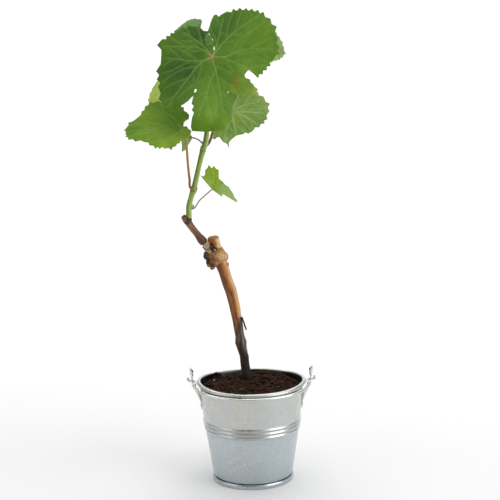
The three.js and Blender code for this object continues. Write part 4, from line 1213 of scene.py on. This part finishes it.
LEFT_OUTLINE = [
    (-170, 4.5, 0), (-140, 4.5, 0), (-118, 8.8, 0), (-108, 12.5, 0), (-95, 14.9, 1), (-84, 19.6, 1),
    (-78, 22.3, 2), (-55, 31.5, 2), (-38, 41, 2), (-25, 42, 1), (-17, 43, 1), (-11, 51, 1),
    (-7, 50.6, 0), (-4, 53.8, 1), (1, 50.6, 1), (4, 50.8, 1), (10, 45.8, 1), (16, 39, 1), (23, 31.4, 1),
    (33, 28.4, 1), (45, 26.2, 2), (61, 21.8, 1), (79, 21.3, 1), (87, 17.5, 1), (96, 15, 1),
    (106, 12.6, 0), (117, 12, 0), (142, 10.6, 0), (162, 8.9, 0), (175, 5, 0),
]
BROAD_OUTLINE = [
    (-172, 5, 0), (-150, 16, 1), (-110, 20, 2), (-50, 22, 2), (-25, 22, 0), (-16, 25.5, 0),
    (-13.5, 34.9, 0), (-10, 40, 1), (-2, 43, 1), (3, 41.3, 1), (8, 37.6, 1), (13, 33.2, 2), (19, 29.8, 2),
    (30, 25.8, 2), (44, 23, 2), (65, 20, 2), (110, 20, 2), (150, 16, 1), (172, 5, 0),
]
PLAIN_OUTLINE = [
    (-174, 0.12, 0), (-163, 0.5, 2), (-135, 0.68, 2), (-105, 0.78, 2), (-80, 0.76, 2), (-62, 0.8, 1),
    (-48, 0.85, 1), (-36, 0.85, 1), (-24, 0.89, 1), (-14, 0.9, 1), (0, 1, 1), (14, 0.92, 1),
    (24, 0.89, 1), (36, 0.84, 1), (48, 0.82, 1), (62, 0.81, 2), (80, 0.76, 2), (105, 0.78, 2),
    (135, 0.68, 2), (163, 0.5, 0), (174, 0.12, 0),
]
UPPER_OUTLINE = [
    (-174, 3, 0), (-150, 9, 1), (-110, 12, 1), (-75, 13, 2), (-45, 15, 2), (-20, 18, 1), (-8, 20.5, 1),
    (0, 24.8, 1), (8, 24.5, 1), (15, 22.6, 1), (26, 18.1, 1), (38, 16.3, 0), (46, 13.3, 1),
    (70, 12.5, 1), (100, 12.5, 1), (140, 10.5, 1), (165, 6, 0), (176, 3, 0),
]
SMALL_OUTLINE = [
    (-170, 2, 0), (-90, 3, 0), (-30, 5, 0), (-5, 11.5, 1), (5, 13.9, 0), (9, 12.5, 1), (20, 9, 1),
    (46, 7.3, 1), (80, 5, 0), (110, 6.5, 0), (135, 8.5, 1), (160, 6, 0), (172, 2.5, 0),
]
YOUNG_OUTLINE = [
    (-160, 2.2, 0), (-60, 2, 0), (-20, 5.8, 0), (-14, 10.6, 0), (-6, 9.2, 0), (-0.5, 9.2, 0),
    (0, 18.6, 0), (0.5, 22.6, 0), (5, 21.8, 1), (16, 16.6, 0), (38, 12.5, 1), (69, 9.6, 0), (92, 9.3, 0),
    (107, 16.5, 1), (120, 19.6, 0), (126, 17.6, 0), (132, 21, 1), (145, 16.9, 0), (151, 13.3, 0),
    (160, 12.6, 0), (166, 15, 0), (171, 8, 0),
]
# Main veins of a plain leaf: polar points, the reach as a share of the leaf
PLAIN_VEINS = [[(0, 0.95)], [(-46, 0.84)], [(46, 0.84)], [(-98, 0.7)], [(98, 0.7)], [(-140, 0.5)],
               [(140, 0.5)]]
print("corners in the largest leaf's outline:", len(TOP_OUTLINE))

# %% Leaf table: place, shape, bends, veins, tones and stalk of every leaf
LEAVES = {
    "leaf_top": {
        "at": (-25.6, -6, 338), "up": (0, -0.93, 0.36), "midrib": (-0.1, -0.36, -0.93),
        "outline": TOP_OUTLINE, "size": (1, 1), "notch": 1.9, "fold": 0.04,
        "curls": [(-2, 18, 60, 26), (-2, 50, -22, 55), (-50, 22, -60, 25)], "openings": TOP_OPENINGS,
        "veins": [[(18, 6), (21, 11), (3, 19), (-3, 37), (-4, 53)], [(18, 6), (21, 11), (18, 24), (15, 52)],
                  [(-60, 7.5), (-42, 23), (-35, 46), (-33, 52)], [(-60, 7.5), (-78, 21), (-84, 35)],
                  [(-128, 7.5), (-118, 15.5), (-106, 24), (-99, 37)], [(-142, 9), (-134, 18), (-128, 30)],
                  [(98, 13), (110, 22.5), (105, 34), (102, 49)],
                  [(149, 10.5), (147, 20), (143, 32.5), (138, 51)],
                  [(165, 10), (170, 33)], [(92, 8), (78, 20), (74, 36)]],
        "tone": "567C26", "vein": 0.58, "vein_tone": "86A955",
        # The spots are partly the leaf's own mottling and partly painted light and shade: the left lobes
        # darker, the hanging middle lobe lighter.
        "spots": [(-100, 38, 8, "557726"), (-85, 28, 14, "4D7127"), (-114, 32, 8, "4B6F28"),
                  (-138, 29, 8, "3B6025"), (-150, 20, 7, "2A461A"), (-147, 12, 5, "416325"),
                  (-60, 30, 14, "35571F"), (-48, 20, 9, "2C4A19"), (-44, 40, 12, "426623"),
                  (-30, 46, 8, "496E26"), (-26, 31, 7, "476823"), (-96, 10, 6, "3F6323"),
                  (-36, 14, 6, "456923"), (0, 14, 8, "527928"), (40, 15, 7, "4E7528"),
                  (0, 30, 12, "5B8228"), (5, 43, 10, "638A29"), (6, 53, 6, "6D9128"),
                  (0, 60, 5, "5E8227"), (15, 60, 5, "6B8F29"), (120, 14, 8, "567A28"),
                  (98, 34, 16, "5A7F27"), (74, 28, 6, "6E9036"), (76, 36, 6, "688B2C"),
                  (178, 18, 7, "365E25"), (166, 26, 8, "406625"), (155, 17, 5, "476D24"),
                  (158, 34, 9, "446625"), (135, 46, 10, "5C8028"), (122, 48, 8, "64852A"),
                  (0, 0, 3, "85773D")],
        "petiole": [(-24.9, 8.1, 322), (-26, 6.6, 328), (-26, 2.4, 334.6), (-25.6, -5.7, 337.9)],
        "stalk": 1.2, "stalk_tones": ("8A6A3C", "A87A4E", "B89A68"),
        "seen_from": "above", "slot": "leaf",
    },
    "leaf_right": {
        "at": (-11.9, 18, 296.6), "up": (-0.1, 0.86, 0.5), "midrib": (0.83, 0.35, -0.43),
        "outline": RIGHT_OUTLINE, "size": (1, 1), "notch": 1.5, "fold": 0.12,
        "curls": [(0, 16, -50, 25), (90, 16, -40, 25)],
        "veins": [[(-10, 8), (-1, 24)], [(-60, 8), (-49, 24.5)], [(-26, 15), (-25, 26)], [(48, 22.5)],
                  [(71, 26.5)], [(-98, 17.5), (-92, 25)], [(100, 20)]],
        "tone": "789843", "vein": 0.95, "vein_tone": "B9CE8E",
        "spots": [(-98, 18, 8, "6E9135"), (-57, 27, 8, "829E55"), (-45, 14, 8, "7A9A4A"),
                  (-39, 29, 6, "8CA760"), (0, 24, 10, "7E9D51"), (9, 20, 4, "779638"),
                  (62, 18, 6, "709235"), (30, 14, 6, "7E9D48"), (65, 27, 3, "A0B573"),
                  (0, 4, 5, "86A33F")],
        "petiole": [(-34.6, 2.9, 268), (-29.9, 4.8, 272), (-26.4, 9, 281.6), (-20, 14, 291),
                    (-12.4, 17.8, 296.2)],
        "stalk": 1.0, "stalk_tones": ("5E3A20", "7A5030", "A09A5A"),
        "seen_from": "below", "slot": "leaf_pale",
    },
    "leaf_left": {
        "at": (-49.8, -10, 283.7), "up": (-0.25, -0.76, 0.6), "midrib": (-0.95, 0.31, -0.01),
        "outline": LEFT_OUTLINE, "size": (1, 1), "notch": 1.4, "fold": 0.1,
        "curls": [(0, 26, -60, 22), (75, 10, -50, 20)], "openings": LEFT_OPENINGS,
        "veins": [[(-40, 5), (-16, 13), (-1, 25.5), (-2, 45)], [(-45, 18), (-36, 27), (-34, 37)],
                  [(60, 4), (34, 19.5), (25, 28)], [(91, 12.5)], [(-93, 9.5), (-88, 17)]],
        "tone": "729729", "vein": 0.6, "vein_tone": "86A548",
        "spots": [(-35, 30, 9, "688E27"), (-45, 16, 10, "638B27"), (-27, 7, 5, "618826"),
                  (-18, 38, 8, "7D9C2C"), (10, 27, 8, "7C9E2B"), (30, 20, 8, "779B29"),
                  (57, 20, 8, "8BAD35"), (92, 11, 7, "88A634"), (-72, 14, 5, "638C27"),
                  (120, 6, 4, "809E2A"), (0, 45, 8, "679026")],
        "petiole": [(-42.6, 0, 236.6), (-45.4, -1.4, 237.6), (-45.6, -3, 243.6), (-46.4, -5.4, 255),
                    (-46.9, -7.4, 270), (-47.5, -8, 278), (-49.6, -9.6, 283.4)],
        "stalk": 1.0, "stalk_tones": ("8A3422", "A27444", "BE9C5C"),
        "seen_from": "above", "slot": "leaf",
    },
    "leaf_back_left": {
        "at": (-52.9, 27, 319), "up": (-0.45, 0.45, 0.77), "midrib": (-0.88, 0.13, -0.42),
        "outline": PLAIN_OUTLINE, "size": (34, 27), "notch": 0.9, "fold": 0.15,
        "curls": [(0, 14, -40, 25)], "veins": PLAIN_VEINS,
        "tone": "C5D96A", "vein": 0.9, "vein_tone": "C4DA8C",
        "spots": [(0, 34, 10, "B2CB5E")],
        "petiole": [(-30, 5, 290.6), (-35, 8.6, 299), (-43, 18, 311), (-52.4, 26.6, 318.6)],
        "stalk": 0.9, "stalk_tones": ("8A8A4A", "9A9A55", "A8B060"),
        "seen_from": "below", "slot": "leaf_young",
    },
    "leaf_back_top": {
        "at": (-42.8, 24, 346.6), "up": (0, -0.75, 0.66), "midrib": (0, 0.66, 0.75),
        "outline": BROAD_OUTLINE, "size": (1, 1), "notch": 1.2, "fold": 0.12,
        "curls": [(0, 16, -50, 22)],
        "veins": [[(0, 31)], [(-42, 20)], [(44, 21)], [(-92, 18)], [(92, 18)], [(-140, 14)], [(140, 14)]],
        "tone": "4D781D", "vein": 0.6, "vein_tone": "94B852",
        "spots": [(-20, 28, 8, "436B1A")],
        "petiole": [(-23.6, 8.5, 329), (-28, 15, 331), (-36, 24, 338.6), (-42.4, 24.6, 346)],
        "stalk": 0.8, "stalk_tones": ("8A8A4A", "9A9A55", "A8B060"),
        "seen_from": "above", "slot": "leaf_young",
    },
    "leaf_back_right": {
        "at": (9, 20, 349), "up": (0.3, 0.78, 0.53), "midrib": (0.94, -0.1, -0.22),
        "outline": PLAIN_OUTLINE, "size": (26, 23), "notch": 1.1, "fold": 0.15,
        "curls": [(0, 12, -40, 20)], "veins": PLAIN_VEINS,
        "tone": "BCD498", "vein": 0.8, "vein_tone": "B4CE94",
        "spots": [(0, 26, 6, "A6C27E")],
        "petiole": [(-21.6, 9.2, 340), (-16, 12.6, 345), (-4, 17.4, 349), (8.5, 19.8, 348.8)],
        "stalk": 0.8, "stalk_tones": ("8A8A4A", "9A9A55", "A8B060"),
        "seen_from": "below", "slot": "leaf_pale",
    },
    "leaf_right_upper": {
        "at": (-12, 4.4, 320), "up": (0.25, -0.76, 0.6), "midrib": (0.86, -0.1, -0.46),
        "outline": UPPER_OUTLINE, "size": (1, 1), "notch": 1.1, "fold": 0.15,
        "curls": [(0, 12, -40, 20)], "veins": [[(2, 22)], [(40, 13)], [(-40, 14)], [(85, 10)], [(-90, 10)]],
        "tone": "82A13A", "vein": 0.8, "vein_tone": "A0B060",
        "spots": [(8, 16, 6, "86A13F"), (45, 12, 5, "95B156"), (78, 12, 5, "85A634"),
                  (9, 22, 5, "97B057"), (45, 5, 3, "95A640"), (0, 2, 3, "A18640")],
        "petiole": [(-27.4, 6.8, 306), (-22, 9.4, 310), (-17, 9.8, 316), (-12.3, 5.6, 319.6)],
        "stalk": 0.8, "stalk_tones": ("8A8A4A", "94603C", "96502F"),
        "seen_from": "above", "slot": "leaf",
    },
    "leaf_small": {
        "at": (-45.6, 12, 277), "up": (-0.2, 0.85, 0.35), "midrib": (-0.42, 0.2, -0.88),
        "outline": SMALL_OUTLINE, "size": (1, 1), "notch": 0.3, "fold": 0.3,
        "curls": [(0, 4, -20, 25)], "veins": [[(4, 12)], [(40, 6)], [(135, 7)]],
        "tone": "8CA468", "vein": 0.4, "vein_tone": "A8C488",
        "spots": [(0, 10, 4, "96AC74")],
        "petiole": [(-33.8, 3.2, 270.8), (-37, 6.8, 273.6), (-40, 9.6, 275.4), (-45.4, 11.9, 276.9)],
        "stalk": 0.6, "stalk_tones": ("6A5A34", "7A6244", "8A8A55"),
        "seen_from": "below", "slot": "leaf_pale",
    },
    "leaf_young": {
        "at": (-27.4, 0, 236.4), "up": (0.1, -0.86, 0.5), "midrib": (0.84, -0.2, -0.51),
        "outline": YOUNG_OUTLINE, "size": (1, 1), "notch": 0.7, "fold": 0.1,
        "curls": [(120, 8, -60, 15)],
        "veins": [[(2, 20)], [(-11, 9)], [(60, 8)], [(118, 17)], [(136, 18)], [(165, 12)]],
        "tone": "99B83B", "vein": 0.5, "vein_tone": "B8D070",
        "spots": [(150, 5, 3, "A4BC59"), (162, 11, 3, "9BB15F"), (48, 7, 4, "98B265"),
                  (26, 12, 6, "ACC27E"), (6, 20, 6, "AAC27E"), (-2, 9, 4, "A1BB70"),
                  (96, 5, 3, "99B73C")],
        "petiole": [(-46.6, 0.6, 220.4), (-43.4, -0.4, 220.6), (-41.2, -0.9, 222.4), (-38.6, -1.6, 226.6),
                    (-32.7, -1, 231.8), (-27.8, -0.1, 236)],
        "stalk": 0.55, "stalk_tones": ("7A6A4A", "8A7058", "90804E"),
        "seen_from": "above", "slot": "leaf_young",
    },
}
print(len(LEAVES), "leaves")

# %% [markdown]
# A real leaf isn't flat: it is folded a little along its midrib, and its lobes droop. Bending a mesh by hand
# would stretch it, so the bends are worked out: past a line across the leaf, the flat points are rolled on
# to a cylinder and then run on straight. That keeps every length along the leaf.

# %% Flat leaf to its place
def polar(angle, reach):
    """Across and along, for an angle from the midrib and a distance from the stalk."""
    turn = math.radians(angle)
    return math.sin(turn) * reach, math.cos(turn) * reach


def bent(leaf, flat):
    """Places flat leaf points (across, along, height) in space: fold, bends, then the leaf's own frame."""
    across, along, height = [np.array(axis, dtype=float) for axis in zip(*flat)]
    height = height + leaf["fold"] * (np.hypot(across, 4) - 4)
    for direction, start, radius, whole in leaf["curls"]:
        sine, cosine = polar(direction, 1)
        beyond = np.maximum(across * sine + along * cosine - start, 0)
        on_arc = np.minimum(beyond, abs(radius) * math.radians(whole))
        bend = on_arc / radius
        straight = beyond - on_arc
        forward = (radius - height) * np.sin(bend) + straight * np.cos(bend) - beyond
        raised = radius - (radius - height) * np.cos(bend) + straight * np.sin(bend)
        moved = beyond > 0
        across = np.where(moved, across + forward * sine, across)
        along = np.where(moved, along + forward * cosine, along)
        height = np.where(moved, raised, height)
    up = Vector(leaf["up"]).normalized()
    midrib = Vector(leaf["midrib"])
    midrib = (midrib - up * midrib.dot(up)).normalized()
    side = up.cross(midrib)
    return np.array(leaf["at"]) + np.outer(across, side) + np.outer(along, midrib) + np.outer(height, up)


tip = bent(LEAVES["leaf_top"], [(0, 60, 0)])[0]
print("tip of the largest leaf at", [round(part) for part in tip], "mm")

# %% Outline of a blade, with rounded teeth
EDGE_STEP = 0.8


def blade_edge(leaf):
    """The edge as (across, along) points, about one per EDGE_STEP millimetres."""
    length, width = leaf["size"]
    corners = []
    for angle, reach, teeth in leaf["outline"]:
        x, y = polar(angle, reach)
        corners.append((x * width, y * length, teeth))
    edge = []
    for (x, y, teeth), (next_x, next_y, _) in zip(corners, corners[1:] + corners[:1]):
        side = math.hypot(next_x - x, next_y - y)
        out_x, out_y = (y - next_y) / side, (next_x - x) / side
        samples = max(2, round(side / EDGE_STEP), 8 * teeth)
        for sample in range(samples):
            share, push = sample / samples, 0.0
            if teeth:
                dip = 1 - abs(2 * (share * teeth % 1) - 1)
                push = 0.15 * side * share * (1 - share) - 1.2 * leaf["notch"] * dip ** 0.9
            edge.append((between(x, next_x, share) + out_x * push, between(y, next_y, share) + out_y * push))
    return edge


def edge_reach(edge):
    """A function that gives the blade's reach at an angle in degrees."""
    polars = sorted((math.degrees(math.atan2(x, y)), math.hypot(x, y)) for x, y in edge)
    angles, reaches = zip(*polars)
    return lambda angle: float(np.interp((angle + 180) % 360 - 180, angles, reaches, period=360))


print("points on the largest edge:", len(blade_edge(LEAVES["leaf_top"])))

# %% [markdown]
# The main veins are in the table. Side veins leave them in turn to the left and to the right, curve towards
# the edge, and stop near it or where they would run into another vein. Growing them by this rule gives each
# leaf its own pattern, and none is the copy of another.

# %% Veins: main veins as given, side veins grown from them
SIDE_VEIN_GAP, SIDE_VEIN_STEP = 5.2, 1.3  # millimetres between veins, and between points of one
SIDE_VEIN_ANGLE, SIDE_VEIN_CURVE = 46, 1.6  # degrees at the main vein, and at each point
CROWDED = 2.2  # millimetres from another vein


def main_veins(leaf):
    length, width = leaf["size"]
    paths = []
    for path in leaf["veins"]:
        points = [Vector((0, 0, 0))]
        for angle, reach in path:
            x, y = polar(angle, reach)
            points.append(Vector((x * width, y * length, 0)))
        paths.append(points)
    return paths


def side_veins(path, others, reach):
    """Side veins of one main vein, which stop at the other veins and near the edge."""
    whole = sum((b - a).length for a, b in zip(path, path[1:]))
    count = int(whole * 0.8 / SIDE_VEIN_GAP)
    grown = []
    for number in range(count):
        share = 0.22 + 0.72 * (number + 0.5) / count
        start, heading = smooth_curve(path, share)
        side = 1 if number % 2 else -1
        heading.rotate(rotation("Z", SIDE_VEIN_ANGLE * side))
        points = [start]
        while len(points) < 26:
            heading.rotate(rotation("Z", -SIDE_VEIN_CURVE * side))
            ahead = points[-1] + heading * SIDE_VEIN_STEP
            angle = math.degrees(math.atan2(ahead.x, ahead.y))
            crowded = any((ahead - other).length < CROWDED for other in others)
            if ahead.length > 0.95 * reach(angle) or crowded and len(points) > 2:
                break
            points.append(ahead)
        if len(points) > 3:
            grown.append(points)
    return grown


def all_veins(leaf, edge):
    """Every vein as (points, width at its start, width at its end)."""
    reach = edge_reach(edge)
    mains = main_veins(leaf)
    veins = [(path, leaf["vein"], 0.28 * leaf["vein"]) for path in mains]
    taken = [[smooth_curve(path, share / 24)[0] for share in range(25)] for path in mains]
    for index, path in enumerate(mains):
        others = [point for place, points in enumerate(taken) if place != index for point in points]
        for grown in side_veins(path, others, reach):
            veins.append((grown, 0.26 * leaf["vein"], 0.1 * leaf["vein"]))
            taken.append(grown[2:])
    return veins


def vein_distance(flat, veins):
    """Distance in mm from each flat point to the nearest vein."""
    starts, ends = [], []
    for path, _, _ in veins:
        if len(path) < 9:
            path = [smooth_curve(path, share / 8)[0] for share in range(9)]
        points = [point.xy for point in path]
        starts += points[:-1]
        ends += points[1:]
    nearest = np.full(len(flat), 1e9)
    for start, end in zip(starts, ends):
        start, run = np.array(start), np.array(end - start)
        along = np.clip((flat - start) @ run / max(run @ run, 1e-9), 0, 1)
        away = flat - start - np.outer(along, run)
        nearest = np.minimum(nearest, np.hypot(away[:, 0], away[:, 1]))
    return nearest


largest = LEAVES["leaf_top"]
print("veins of the largest leaf:", len(all_veins(largest, blade_edge(largest))))

# %% [markdown]
# The blade starts as a sphere with as many segments as the outline has points. Pressed flat and drawn out to
# the outline it is a closed thin disc, with one upper and one lower skin. Where two lobes leave a gap, a
# prism of that shape is cut out with a Boolean. The skin then bulges between the veins, which lie sunken in
# the upper face, and the edge waves.

# %% Surface of a leaf
BULGE, BULGE_START = 0.42, 1.9
EDGE_WAVE, WAVE_LENGTH, CRINKLE = 0.9, 9, 0.12


def surface_height(flat, distance, reach):
    """The height of the skin in millimetres, from the distance to the nearest vein."""
    height = BULGE * (1 - np.exp(-(distance / BULGE_START) ** 2))
    for index, (x, y) in enumerate(flat):
        share = min(1.0, math.hypot(x, y) / max(6.0, reach))
        slow = noise.noise(Vector((x / WAVE_LENGTH, y / WAVE_LENGTH, reach)))
        height[index] += EDGE_WAVE * slow * share ** 2 + CRINKLE * noise.noise(Vector((x, y, 3)) / 1.6)
    return height


heights = surface_height(np.array([(0.0, 0.0), (10.0, 0.0)]), np.array([0.0, 4.0]), 30)
print("skin at a vein and between veins:", heights.round(2), "mm")



# %% Flat blade
BLADE_THICKNESS = 0.5


def flat_blade(name, leaf, edge):
    """A closed thin disc in the leaf's outline, from a UV sphere pressed flat."""
    rings = max(7, round(max(math.hypot(x, y) for x, y in edge) / 2.4))
    deselect_all()
    bpy.ops.mesh.primitive_uv_sphere_add(segments=len(edge), ring_count=2 * rings, radius=1)
    piece = bpy.context.object
    piece.name = name
    for vertex in piece.data.vertices:
        x, y, z = vertex.co
        ring = rings - abs(round(math.acos(max(-1, min(1, z))) / math.pi * 2 * rings) - rings)
        share = 1 if ring == rings else 0.985 * ring / (rings - 1)
        edge_x, edge_y = edge[round(math.atan2(y, x) / math.tau * len(edge)) % len(edge)]
        half = 0 if ring == rings else math.copysign(BLADE_THICKNESS / 2, z)
        vertex.co = (edge_x * share, edge_y * share, half)
    for opening in leaf.get("openings", []):
        cut_opening(piece, opening)
    return piece


def cut_opening(piece, opening):
    """Cuts the gap between two lobes with a prism of that outline."""
    outline = [Vector((*polar(angle, reach), 0)) for angle, reach in opening]
    fine = [smooth_curve(outline + outline[:1], step / 45)[0] for step in range(45)]
    bpy.ops.mesh.primitive_circle_add(vertices=45, radius=1, fill_type="NGON")
    tool = bpy.context.object
    for vertex, place in zip(tool.data.vertices, fine):
        vertex.co = place + Vector((0, 0, -4))
    bpy.ops.object.mode_set(mode="EDIT")
    bpy.ops.mesh.select_all(action="SELECT")
    bpy.ops.mesh.extrude_region_move(TRANSFORM_OT_translate={"value": (0, 0, 8)})
    bpy.ops.mesh.select_all(action="SELECT")
    bpy.ops.mesh.normals_make_consistent(inside=False)
    bpy.ops.object.mode_set(mode="OBJECT")
    cutter = piece.modifiers.new("opening", "BOOLEAN")
    cutter.object, cutter.operation, cutter.solver = tool, "DIFFERENCE", "EXACT"
    bpy.context.view_layer.objects.active = piece
    bpy.ops.object.modifier_apply(modifier="opening")
    bpy.data.objects.remove(tool)


print("gaps to cut:", sum(len(leaf.get("openings", [])) for leaf in LEAVES.values()))

# %% [markdown]
# The blade's tones are painted like the wood's: a base tone, and soft spots of other tones at polar places.
# The finish adds the fine net of veins inside each field, from a Voronoi texture on the flat leaf, so the
# net never stretches at a bend. It is a node group, since the upper and the lower face use it with
# different strength.

# %% Leaf finishes
def build_vein_net():
    tree, given, result = group_tree(
        "vein_net", [("Vector", "NodeSocketVector", None), ("Scale", "NodeSocketFloat", 520.0)],
        [("Lines", "NodeSocketFloat"), ("Height", "NodeSocketFloat")])
    wander = place_node(tree, "ShaderNodeTexNoise", Vector=given["Vector"], Scale=300.0, Detail=2.0)
    shifted = place_node(tree, "ShaderNodeMix", {"data_type": "VECTOR"}, in_0=0.0025)
    tree.links.new(given["Vector"], shifted.inputs[4])
    tree.links.new(wander.outputs["Color"], shifted.inputs[5])
    cells = place_node(tree, "ShaderNodeTexVoronoi", {"feature": "DISTANCE_TO_EDGE"},
                       Vector=shifted.outputs[1], Scale=given["Scale"]).outputs["Distance"]
    tree.links.new(spread(tree, cells, 0.0, 0.12, 1.0, 0.0), result["Lines"])
    tree.links.new(spread(tree, cells, 0.0, 0.35), result["Height"])
    return tree


VEIN_NET = build_vein_net()


def leaf_finish(name, roughness, net_share, net_tone, paleness, relief):
    finish, tree, shader = new_finish(name, Specular_IOR_Level=0.25)
    tint = place_node(tree, "ShaderNodeAttribute", {"attribute_name": "tint"}).outputs["Color"]
    flat = coordinates(tree, "flat")
    net = place_node(tree, "ShaderNodeGroup", {"node_tree": VEIN_NET}, Vector=flat).outputs
    patches = mottle(tree, flat, 130.0, 900.0, 0.35)
    shade = mixed(tree, patches["Mask"], (0.84, 0.86, 0.8, 1), (1.14, 1.12, 1.12, 1))
    body = mixed(tree, paleness, mixed(tree, 1.0, tint, shade, "MULTIPLY"), colour("9DB48C"))
    halo = place_node(tree, "ShaderNodeAttribute", {"attribute_name": "vein"}).outputs["Fac"]
    body = mixed(tree, spread(tree, halo, 0.2, 1.0, 0.0, 0.25), body, colour(net_tone))
    lines = spread(tree, net["Lines"], 0.0, 1.0, 0.0, net_share)
    tree.links.new(mixed(tree, lines, body, colour(net_tone)), shader.inputs["Base Color"])
    tree.links.new(spread(tree, patches["Grain"], 0.3, 0.7, roughness, roughness + 0.14),
                   shader.inputs["Roughness"])
    bumped(tree, shader, net["Height"], relief)
    return finish


LEAF_UPPER = leaf_finish("leaf_upper_side", 0.46, 0.16, "86AE52", 0.0, 0.00012)
LEAF_UNDER = leaf_finish("leaf_under_side", 0.62, 0.3, "B0CC90", 0.4, 0.0002)
LEAF_UNDER_SEEN = leaf_finish("leaf_under_side_pale", 0.62, 0.34, "A9C887", 0.0, 0.0002)
LEAF_VEIN = woody_finish("leaf_vein", 0.5, 0.08, 0.00005, (1, 1, 1), None)
print("leaf finishes:", LEAF_UPPER.name, LEAF_UNDER.name, LEAF_UNDER_SEEN.name, LEAF_VEIN.name)

# %% [markdown]
# Each leaf is put together from its blade, its veins and its stalk. The blade stands for the plain solid.
# The veins are thin ribbons that follow their paths over both faces, all in one mesh per leaf.

# %% Leaf from its parts: blade, veins, stalk
GLOSS_TONE = np.array((0.014, 0.014, 0.017, 0))  # the soft light's reflection adds this much


def spotted(flat, base, spots):
    """Tones at flat points: the base tone with soft spots (angle, reach, radius, tone) over it."""
    tones = np.tile(np.array(colour(base)), (len(flat), 1))
    for angle, reach, radius, code in spots:
        away = np.hypot(*(flat - np.array(polar(angle, reach))).T) / radius
        share = np.exp(-away ** 2.2)[:, None]
        tones = tones * (1 - share) + np.array(colour(code)) * share
    return np.maximum(tones - GLOSS_TONE, 0.003)


def set_attribute(piece, name, kind, values):
    layer = piece.data.attributes.new(name, kind, "POINT")
    key = {"FLOAT_COLOR": "color", "FLOAT_VECTOR": "vector", "FLOAT": "value"}[kind]
    layer.data.foreach_set(key, np.asarray(values, dtype=float).ravel())


def dress_blade(name, leaf, edge, veins, reach):
    piece = flat_blade(name + "_blade", leaf, edge)
    corners = np.array([vertex.co for vertex in piece.data.vertices])
    flat = corners[:, :2]
    distance = vein_distance(flat, veins)
    tones = spotted(flat, leaf["tone"], leaf["spots"])
    set_attribute(piece, "tint", "FLOAT_COLOR", tones)
    set_attribute(piece, "vein", "FLOAT", np.exp(-(distance / 0.9) ** 2))
    set_attribute(piece, "flat", "FLOAT_VECTOR", np.column_stack([flat, flat[:, :1] * 0]) * MM)
    height = corners[:, 2] + surface_height(flat, distance, reach)
    upper = [face.center.z > 0 for face in piece.data.polygons]
    places = bent(leaf, np.column_stack([flat, height])) * MM
    piece.data.vertices.foreach_set("co", places.ravel())
    face_outward(piece)
    under = LEAF_UNDER if leaf["seen_from"] == "above" else LEAF_UNDER_SEEN
    finish_piece(piece, [LEAF_UPPER, under], [name], angle=50)
    for face, is_upper in zip(piece.data.polygons, upper):
        face.material_index = 0 if is_upper else 1
    return piece


def dress_veins(name, leaf, veins, reach):
    """One thin ribbon per vein: a stretched sphere, repeated by an Array and laid along each path."""
    steps = 18
    deselect_all()
    bpy.ops.mesh.primitive_uv_sphere_add(segments=6, ring_count=steps + 2, radius=1)
    piece = bpy.context.object
    piece.name = name + "_veins"
    pattern = [vertex.co.copy() for vertex in piece.data.vertices]
    copies = piece.modifiers.new("copies", "ARRAY")
    copies.count, copies.use_relative_offset = len(veins), False
    bpy.ops.object.modifier_apply(modifier="copies")
    flat, height, tones = [], [], []
    stalk_tone = colour(leaf["stalk_tones"][2])
    for path, start_width, end_width in veins:
        fineness = 1 - min(1, start_width / leaf["vein"])
        pale = blended(colour(leaf["vein_tone"]), colour(leaf["tone"]), 0.9 * fineness)
        for x, y, z in pattern:
            ring = round(math.acos(max(-1, min(1, z))) / math.pi * (steps + 2)) - 1
            share = max(0, min(steps, ring)) / steps
            centre, heading = smooth_curve(path, share)
            width = 0 if ring < 0 or ring > steps else between(start_width, end_width, share)
            turn = math.atan2(y, x)
            offset = Vector((-heading.y, heading.x, 0)) * (math.cos(turn) * width / 2)
            flat.append((centre + offset).xy[:])
            rise = 0 if width == 0 else math.sin(turn) * (BLADE_THICKNESS / 2 + 0.08 + 0.14 * width)
            height.append(rise)
            tones.append(blended(stalk_tone, pale, step_up(1, 9, centre.length)))
    flat = np.array(flat)
    set_attribute(piece, "tint", "FLOAT_COLOR", tones)
    rise = np.array(height) + surface_height(flat, vein_distance(flat, veins), reach)
    places = bent(leaf, np.column_stack([flat, rise])) * MM
    piece.data.vertices.foreach_set("co", places.ravel())
    face_outward(piece)
    finish_piece(piece, LEAF_VEIN, angle=60)


def dress_stalk(name, leaf):
    stations = [(*point, leaf["stalk"] * (1.5 if index == 0 else 1))
                for index, point in enumerate(leaf["petiole"])]
    first, second, third = [colour(code) for code in leaf["stalk_tones"]]
    whole = limb_frames(stations, 40)[-1][4]
    piece = limb(name + "_stalk", stations, sides=14, steps=48)
    paint(piece, lambda turn, distance, place: blended(
        blended(first, second, distance / whole * 2.5), third, distance / whole * 1.6 - 0.6))
    finish_piece(piece, STEM, angle=60)


for name, leaf in LEAVES.items():
    edge = blade_edge(leaf)
    reach = max(math.hypot(x, y) for x, y in edge)
    veins = all_veins(leaf, edge)
    blade = dress_blade(name, leaf, edge, veins, reach)
    dress_veins(name, leaf, veins, reach)
    dress_stalk(name, leaf)
    print(name, "veins:", len(veins), "faces:", len(blade.data.polygons))
